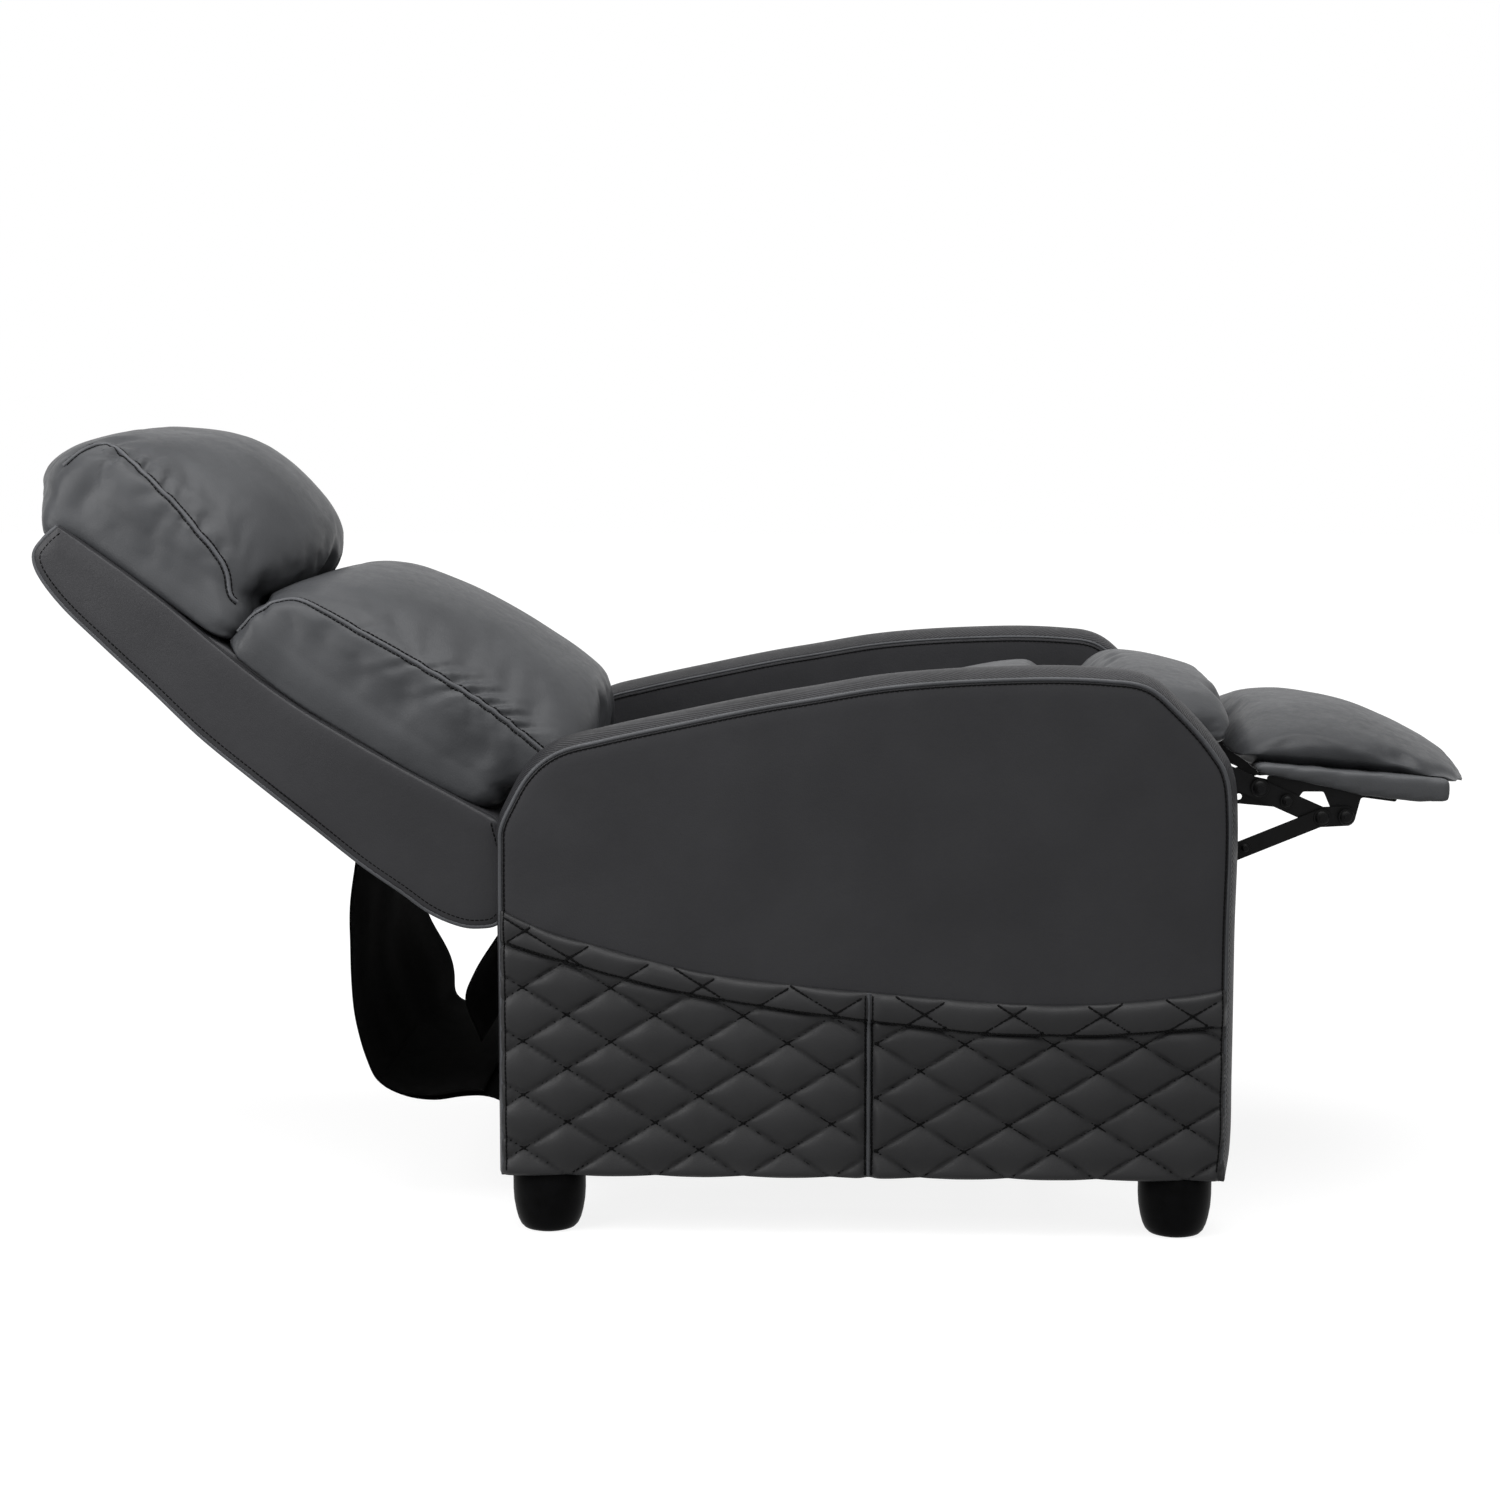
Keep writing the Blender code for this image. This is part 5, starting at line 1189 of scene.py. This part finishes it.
def finishCushion(name, settings):
    piece = settings["piece"]
    mesh = piece.data
    if "swollen" in settings:
        travel = settings["swollen"] - settings["start"]
        reach = np.linalg.norm(travel, axis=1)
        print(name, "swells by up to", round(float(reach.max()) * 1000, 1), "mm")
        capped = travel * np.minimum(1, settings["cap"] / np.maximum(reach, 1e-9))[:, None]
        setVertices(mesh, settings["start"] + capped)
    shape = bmesh.new()
    shape.from_mesh(mesh)
    for _ in range(4):
        bmesh.ops.smooth_vert(shape, verts=shape.verts, factor=0.5, use_axis_x=True, use_axis_y=True,
                              use_axis_z=True)
    shape.to_mesh(mesh)
    shape.free()
    cover = verticesOf(mesh)
    source = verticesOf(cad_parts[settings["node"]].data)
    seams = [fitted(np.array(seam), cover, source, settings) for seam in settings["lines"]]
    lines = [evenly([Vector(p) for p in seam], sewing["step"]) for seam in seams]
    cover = fitted(cover, cover, source, settings)
    setVertices(mesh, squareBase(cover, settings) if "square" in settings else cover)
    finer = piece.modifiers.new("finer", "SUBSURF")
    finer.levels = 1
    finer.render_levels = 1
    fine = evaluatedMesh(piece)
    piece.modifiers.clear()
    piece.vertex_groups.clear()
    piece.data = fine
    fine.name = name
    points = verticesOf(fine)
    normals = normalsOf(fine)
    lift = np.zeros(len(points))
    for line in lines:
        gap, index = nearest(points, line)
        table = np.array(line)
        along = np.array([tuple(t) for t in tangents(line)])[index]
        across = points - table[index]
        upward = np.cross(normals, along)
        axis = np.array(settings["axis"])
        turn = np.sign((upward @ axis) + 1e-9)
        signed = np.sum(across * upward, axis=1) * turn
        reach = index / len(line)
        total = len(line) * sewing["step"]
        lift -= sewing["dip"] * np.exp(-(gap / sewing["dipWidth"]) ** 2)
        for share, direction, length, depth in settings["puckers"]:
            shift = (reach - share) * total - settings["slant"] * np.abs(signed) * direction
            width = sewing["puckerWidth"] + sewing["puckerSpread"] * np.abs(signed)
            fade = np.clip(1 - gap / length, 0, 1) ** sewing["puckerFade"]
            fade = fade * np.clip(gap / sewing["puckerGap"], 0, 1)
            near = np.where(signed * direction > 0, 1.0, sewing["puckerFarShare"])
            beside = np.exp(-((np.abs(shift) - sewing["puckerSpacing"] * width) / width) ** 2)
            lift -= depth * np.exp(-(shift / width) ** 2) * fade * near
            lift += sewing["puckerBulge"] * depth * beside * fade * near
    coarse, small = sewing["rippleScales"]
    ripples = [noise.noise(Vector(p) * coarse) + sewing["fineShare"] * noise.noise(Vector(p) * small)
               for p in points]
    lift += sewing["ripple"] * np.array(ripples)
    setVertices(fine, points + normals * lift[:, None])
    fine.shade_smooth()
    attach(piece, settings["body"])
    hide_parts(settings["node"])
    if lines:
        sewSeams(name, settings, fine, lines)


def sewSeams(name, settings, cover, lines):
    # A ridge along each seam, snapped to the cover, with a stitch row on either side.
    tree = treeOf(cover)
    ridges = []
    stitches = []
    for line in lines:
        snapped = [tree.find_nearest(p) for p in line]
        path = [hit[0] for hit in snapped]
        squares = [hit[1] for hit in snapped]
        for _ in range(3):
            path = [path[0], *((a + 2 * b + c) / 4 for a, b, c in zip(path, path[1:], path[2:])), path[-1]]
            squares = [squares[0], *((a + b + c).normalized() for a, b, c in
                                     zip(squares, squares[1:], squares[2:])), squares[-1]]
        ridges.append([p + n * sewing["ridgeLift"] for p, n in zip(path, squares)])
        for shift in (-sewing["stitchShift"], sewing["stitchShift"]):
            row = []
            for p, t, n in zip(path, tangents(path), squares):
                hit = tree.find_nearest(p + t.cross(n).normalized() * shift)
                row.append(hit[0])
            stitches += stitchPaths(row, squares)
    seams = joinedMesh([(tubeMesh(ridges, sewing["ridge"], 3), 0),
                        (tubeMesh(stitches, sewing["stitchRadius"], 1), 1)])
    newPiece(name + "Seams", seams, [highlightedSeamLeather, thread], settings["body"])


for cushionName, cushionSettings in cushions.items():
    startCushion(cushionName, cushionSettings)
print("cushions drawn in")
swell(list(cushions.values()))
print("cushions stuffed")
for cushionName, cushionSettings in cushions.items():
    finishCushion(cushionName, cushionSettings)
print("cushions sewn")


# Wrapped boards

boards = {
    # The node that each cover stands for, its body, its material and its slot.
    "footrestBoardCover": ("footrest_board", "footrest", litBoardLeather, "leather"),
    "boardFrontCover": ("board_front", "base", smoothLeather, "leather"),
    "boardRearCover": ("board_rear", "base", dustFelt, "black_cloth"),
    "seatFrontCover": ("seat_rail_front", "seat", smoothLeather, "leather"),
    "seatRearCover": ("seat_rail_rear", "seat", dustFelt, "black_cloth"),
}
wrapping = {
    "voxel": 0.004, "wave": 0.0009, "waveScales": (55, 12, 30),
    # The footrest's cover bags under it and hides the brackets' flanges.
    "bagShares": (0.0, 0.30, 0.55, 0.85, 1.0),
    "bagDepths": (0.0, 0.003, 0.0075, 0.0045, 0.0),
}


def wrapBoard(name, node, body, material, slot):
    # Wood wrapped in its cover, so its edges are soft and the cover lies in slight waves.
    piece = softCopy(name, node, material, wrapping["voxel"], 6)
    soft = piece.data
    points = verticesOf(soft)
    normals = normalsOf(soft)
    waves = np.array([noise.noise(Vector(p)) for p in points * wrapping["waveScales"]])
    points = points + normals * (wrapping["wave"] * waves)[:, None]
    if body == "footrest":
        share = (points[:, 0] - points[:, 0].min()) / np.ptp(points[:, 0])
        bag = np.interp(share, wrapping["bagShares"], wrapping["bagDepths"])
        points[:, 2] -= bag * np.clip(-normals[:, 2] * 1.5, 0, 1)
    setVertices(soft, points)
    soft.shade_smooth()
    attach(piece, body)
    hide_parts(node)


for boardName, boardSettings in boards.items():
    wrapBoard(boardName, *boardSettings)
print("boards wrapped")


# Rear flap

flap = {
    "headShares": (0.187, -0.7035),
    "lineShares": (
        (0.994, 0.848), (1.000, 0.685), (0.994, 0.522), (0.962, 0.319), (0.910, 0.192), (0.836, 0.102),
        (0.694, 0.055), (0.494, 0.040), (0.305, 0.058), (0.178, 0.058), (0.080, 0.036), (0.010, -0.010),
        (0.000, -0.100),
    ),
    "reach": 0.1785, "drop": 0.270, "footZ": 0.1180, "halfWidth": 0.245, "thickness": 0.0014,
    "apronLength": 0.185, "overlap": 0.061,
    # The far side hangs in a fold towards the seat.
    "fold": 0.032, "foldShare": 0.56, "foldSpread": 0.15,
    "sag": 0.006, "crumple": 0.0025, "seatShare": 0.75,
    "cells": (90, 70), "apronCells": (30, 60),
    "boardGap": 0.0018, "apronGap": 0.0018, "apronSag": 0.0040, "apronWidthShare": 0.985,
}


def buildFlap():
    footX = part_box("board_rear")[0].x - flap["boardGap"]
    head = onBack([flap["headShares"]])[0]
    points = [head] + [Vector((footX - u * flap["reach"], flap["footZ"] + v * flap["drop"]))
                       for u, v in flap["lineShares"]]
    line = smoothLine(points, 0.004)
    length = lengthOf(line)
    core = (footX, 0, 0.30)
    apronShare = flap["apronLength"] / length
    half = flap["halfWidth"]

    def hang(u, v):
        p = pointAt(line, u * (1 - flap["overlap"] / length))
        sag = flap["sag"] * math.sin(math.pi * v) * math.sin(math.pi * u)
        sag += flap["crumple"] * ripple(u * 0.4, v * 0.5, 0.09, 2.2)
        fold = flap["fold"] * v ** 2 * math.exp(-((u - flap["foldShare"]) / flap["foldSpread"]) ** 2)
        p = p + Vector((fold - sag, -sag * 0.6))
        return Vector((p.x, half * (2 * v - 1), p.y))

    upper = bentSheet(*flap["cells"], hang, (length, 2 * half), core)
    piece = newPiece("rearFlap", upper, flapFelt, None)
    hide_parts("rear_flap")
    thicken(piece, flap["thickness"])
    low = pointAt(line, flap["seatShare"])
    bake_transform(piece)

    apronHalf = half * flap["apronWidthShare"]

    def rest(u, v):
        p = pointAt(line, 1 - apronShare * (1 - u))
        drop = flap["apronGap"] + flap["apronSag"] * math.sin(math.pi * u)
        return Vector((p.x, apronHalf * (2 * v - 1), p.y - drop))

    apronMesh = bentSheet(*flap["apronCells"], rest, (flap["apronLength"], 2 * half), core)
    apron = newPiece("flapApron", apronMesh, flapFelt, "base")
    thicken(apron, flap["thickness"])


buildFlap()
print("flap hung")


# Dust cover behind the seat

seatCloth = {
    # X and Z in the drawing.
    "line": ((-0.376, 0.309), (-0.414, 0.256), (-0.418, 0.232), (-0.402, 0.190)),
    "cells": (50, 60), "halfWidth": 0.243, "thickness": 0.0012, "inset": 0.006, "gap": 0.0008, "wave": 0.004,
}


def buildSeatCloth():
    # It is stapled under the seat's rear rail and hangs in one stiff fold.
    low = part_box("seat_rail_rear")[0]
    start = Vector((low.x + seatCloth["inset"], low.z - seatCloth["gap"]))
    line = smoothLine([start] + [Vector((x + frameShift, z)) for x, z in seatCloth["line"]], 0.005)
    length = lengthOf(line)
    half = seatCloth["halfWidth"]

    def hang(u, v):
        p = pointAt(line, u)
        wave = seatCloth["wave"] * math.sin(math.pi * u) * ripple(u * 0.3, v * 0.5, 0.08, 6.3)
        return Vector((p.x - wave, half * (2 * v - 1), p.y - wave))

    core = (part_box("board_rear")[0].x + 0.1, 0, 0.15)
    mesh = bentSheet(*seatCloth["cells"], hang, (length, 2 * half), core)
    cloth = newPiece("seatDustCover", mesh, flapFelt, "seat")
    thicken(cloth, seatCloth["thickness"])


buildSeatCloth()
print("dust cover hung")


# Linkage hardware

rivets = {
    # Domed rivet heads: X and Z in the drawing, the body that carries them, and the steel they sit on.
    "heads": (
        ((0.5200, 0.4440), "lower_link", "drive_bar", 0.0078),
        ((0.5460, 0.4450), "lower_link", "cranked_link", 0.0070),
        ((0.4520, 0.4765), "lower_link", "cranked_link", 0.0080),
        ((0.4820, 0.4620), "lower_link", "cranked_link", 0.0062),
        ((0.3782, 0.5074), "lower_link", "cranked_link", 0.0070),
        ((0.4370, 0.4105), "drive_bar", "drive_bar", 0.0050),
        ((0.3552, 0.3764), "drive_bar", "drive_bar", 0.0060),
    ),
    "rise": 0.0034,
    "washer": 0.0010,
    # Radii of the washer and of the peened tip, in shares of the head's radius.
    "washerShares": (1.25, 1.20),
    "tipShares": (0.55, 0.50),
    "tipDepth": 0.003,
}


def buildRivets():
    byBody = {}
    for (x, z), body, steel, radius in rivets["heads"]:
        for _, nodeSide, side in sides:
            low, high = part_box(f"{steel}_{nodeSide}")
            face = high.y if side > 0 else low.y
            shape = byBody.setdefault(body, bmesh.new())
            wide, narrow = (radius * share for share in rivets["washerShares"])
            made = bmesh.ops.create_cone(shape, cap_ends=True, segments=24, radius1=wide, radius2=narrow,
                                         depth=rivets["washer"])
            parts = list(made["verts"])
            bmesh.ops.translate(shape, verts=made["verts"], vec=(0, 0, rivets["washer"] / 2))
            made = bmesh.ops.create_uvsphere(shape, u_segments=20, v_segments=10, radius=radius)
            bmesh.ops.scale(shape, verts=made["verts"], vec=(1, 1, rivets["rise"] / radius))
            bmesh.ops.translate(shape, verts=made["verts"], vec=(0, 0, rivets["washer"]))
            parts += made["verts"]
            wide, narrow = (radius * share for share in rivets["tipShares"])
            made = bmesh.ops.create_cone(shape, cap_ends=True, segments=6, radius1=wide, radius2=narrow,
                                         depth=rivets["tipDepth"])
            bmesh.ops.translate(shape, verts=made["verts"], vec=(0, 0, rivets["washer"] + rivets["rise"]))
            parts += made["verts"]
            turn = Matrix.Rotation(-side * math.pi / 2, 3, "X")
            bmesh.ops.rotate(shape, cent=(0, 0, 0), matrix=turn, verts=parts)
            bmesh.ops.translate(shape, verts=parts, vec=(x + frameShift, face, z))
    for body, shape in byBody.items():
        words = body.split("_")
        mesh = bpy.data.meshes.new("rivets")
        bmesh.ops.recalc_face_normals(shape, faces=shape.faces)
        shape.to_mesh(mesh)
        shape.free()
        newPiece("rivets" + "".join(w.capitalize() for w in words), mesh, powderCoat, body)
        mesh.set_sharp_from_angle(angle=math.radians(35))


buildRivets()
print("rivets set")


# Finishes of the pieces that stay as the frame has them

bareFinishes = (
    (("base_rail", "cross_tube", "bell_crank", "torque_tube", "rear_swing", "seat_plate", "plate_link",
      "cranked_link", "drive_bar", "footrest_bracket", "back_bracket"), powderCoat),
    (("seat_spring",), springWire),
    (("board_", "seat_rail"), softwood),
    (("back_panel",), plywood),
    (("back_shell",), smoothLeather),
)
for nodeName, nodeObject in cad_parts.items():
    for starts, material in bareFinishes:
        if nodeName.startswith(starts):
            nodeObject.data.materials.clear()
            nodeObject.data.materials.append(material)
print("frame finished")


# Studio

studio = {
    "camera": (0.0, -3.2254, 0.8625), "pitch": 6.60387, "turn": 1.99236, "lens": 66.07,
    "sensor": 36, "farthest": 200,
    "ambient": 0.38, "paint": 0.22,
    "lamps": (
        ("overheadSoftbox", (0.2, -0.7, 2.8), (0.0, 0.0, 0.5), (2.8, 2.2), 93),
        ("frontSoftbox", (0.5, -3.8, 2.6), (0.1, 0.0, 0.6), (2.4, 1.8), 12),
        ("headSoftbox", (-1.35, -1.2, 1.2), (-0.65, 0.0, 0.6), (0.9, 0.9), 21),
    ),
    "glow": (0.86, 1.0),        # what the floor adds for the camera, beside the chair and far from it
    "glowReach": (0.9, 2.6),
    "floorSize": 40.0,
}


def seenRays(tree):
    # 1 for camera, glossy and transmission rays, and 0 for the light that falls on the chair.
    rays = addNode(tree, "LightPath")
    seen = rays.outputs["Is Camera Ray"]
    for kind in ("Is Glossy Ray", "Is Transmission Ray"):
        seen = addNode(tree, "Math", {"operation": "MAXIMUM"}, {0: seen, 1: rays.outputs[kind]}).outputs[0]
    return seen


def buildStudio():
    scene = bpy.context.scene
    cameraData = bpy.data.cameras.new("camera")
    cameraData.lens = studio["lens"]
    cameraData.sensor_width = studio["sensor"]
    cameraData.clip_end = studio["farthest"]
    camera = bpy.data.objects.new("camera", cameraData)
    camera.location = Vector(studio["camera"]) + Vector((frameShift, 0, 0))
    camera.rotation_euler = (math.radians(90 - studio["pitch"]), 0, math.radians(studio["turn"]))
    scene.collection.objects.link(camera)
    scene.camera = camera
    for name, place, target, size, power in studio["lamps"]:
        data = bpy.data.lights.new(name, "AREA")
        data.shape = "RECTANGLE"
        data.size, data.size_y = size
        data.energy = power
        lamp = bpy.data.objects.new(name, data)
        lamp.location = place
        lamp.rotation_euler = (Vector(target) - Vector(place)).to_track_quat("-Z", "Y").to_euler()
        scene.collection.objects.link(lamp)
    world = bpy.data.worlds.new("studio")
    scene.world = world
    world.use_nodes = True
    tree = world.node_tree
    tree.nodes.clear()
    strength = addNode(tree, "MapRange", {"To Min": studio["ambient"], "To Max": 1.0},
                       {"Value": seenRays(tree)})
    light = addNode(tree, "Background", {"Color": (1, 1, 1, 1)}, {"Strength": strength.outputs[0]})
    addNode(tree, "OutputWorld", {}, {"Surface": light.outputs[0]})
    shape = bmesh.new()
    bmesh.ops.create_grid(shape, x_segments=8, y_segments=8, size=studio["floorSize"] / 2)
    mesh = bpy.data.meshes.new("floor")
    shape.to_mesh(mesh)
    shape.free()
    floor = bpy.data.objects.new("floor", mesh)
    scene.collection.objects.link(floor)
    material, tree = blankMaterial("paintedStudioFloor")
    # Matt white paint: part of it glows, for the camera and mirrors only, so that it meets the white
    # surround and keeps a shadow.
    paint = addNode(tree, "BsdfDiffuse", {"Color": (*[studio["paint"]] * 3, 1)})
    place = addNode(tree, "TexCoord").outputs["Object"]
    away = addNode(tree, "VectorMath", {"operation": "LENGTH"}, {0: place})
    nearBy, farOff = studio["glowReach"]
    least, most = studio["glow"]
    share = addNode(tree, "MapRange",
                    {"From Min": nearBy, "From Max": farOff, "To Min": least, "To Max": most},
                    {"Value": away.outputs["Value"]})
    level = addNode(tree, "Math", {"operation": "MULTIPLY"}, {0: seenRays(tree), 1: share.outputs[0]})
    glow = addNode(tree, "Emission", {"Color": (1, 1, 1, 1)}, {"Strength": level.outputs[0]})
    both = addNode(tree, "AddShader", {}, {0: paint.outputs[0], 1: glow.outputs[0]})
    addNode(tree, "OutputMaterial", {}, {"Surface": both.outputs[0]})
    mesh.materials.append(material)
    scene.view_settings.view_transform = "Standard"


buildStudio()
print("studio set")
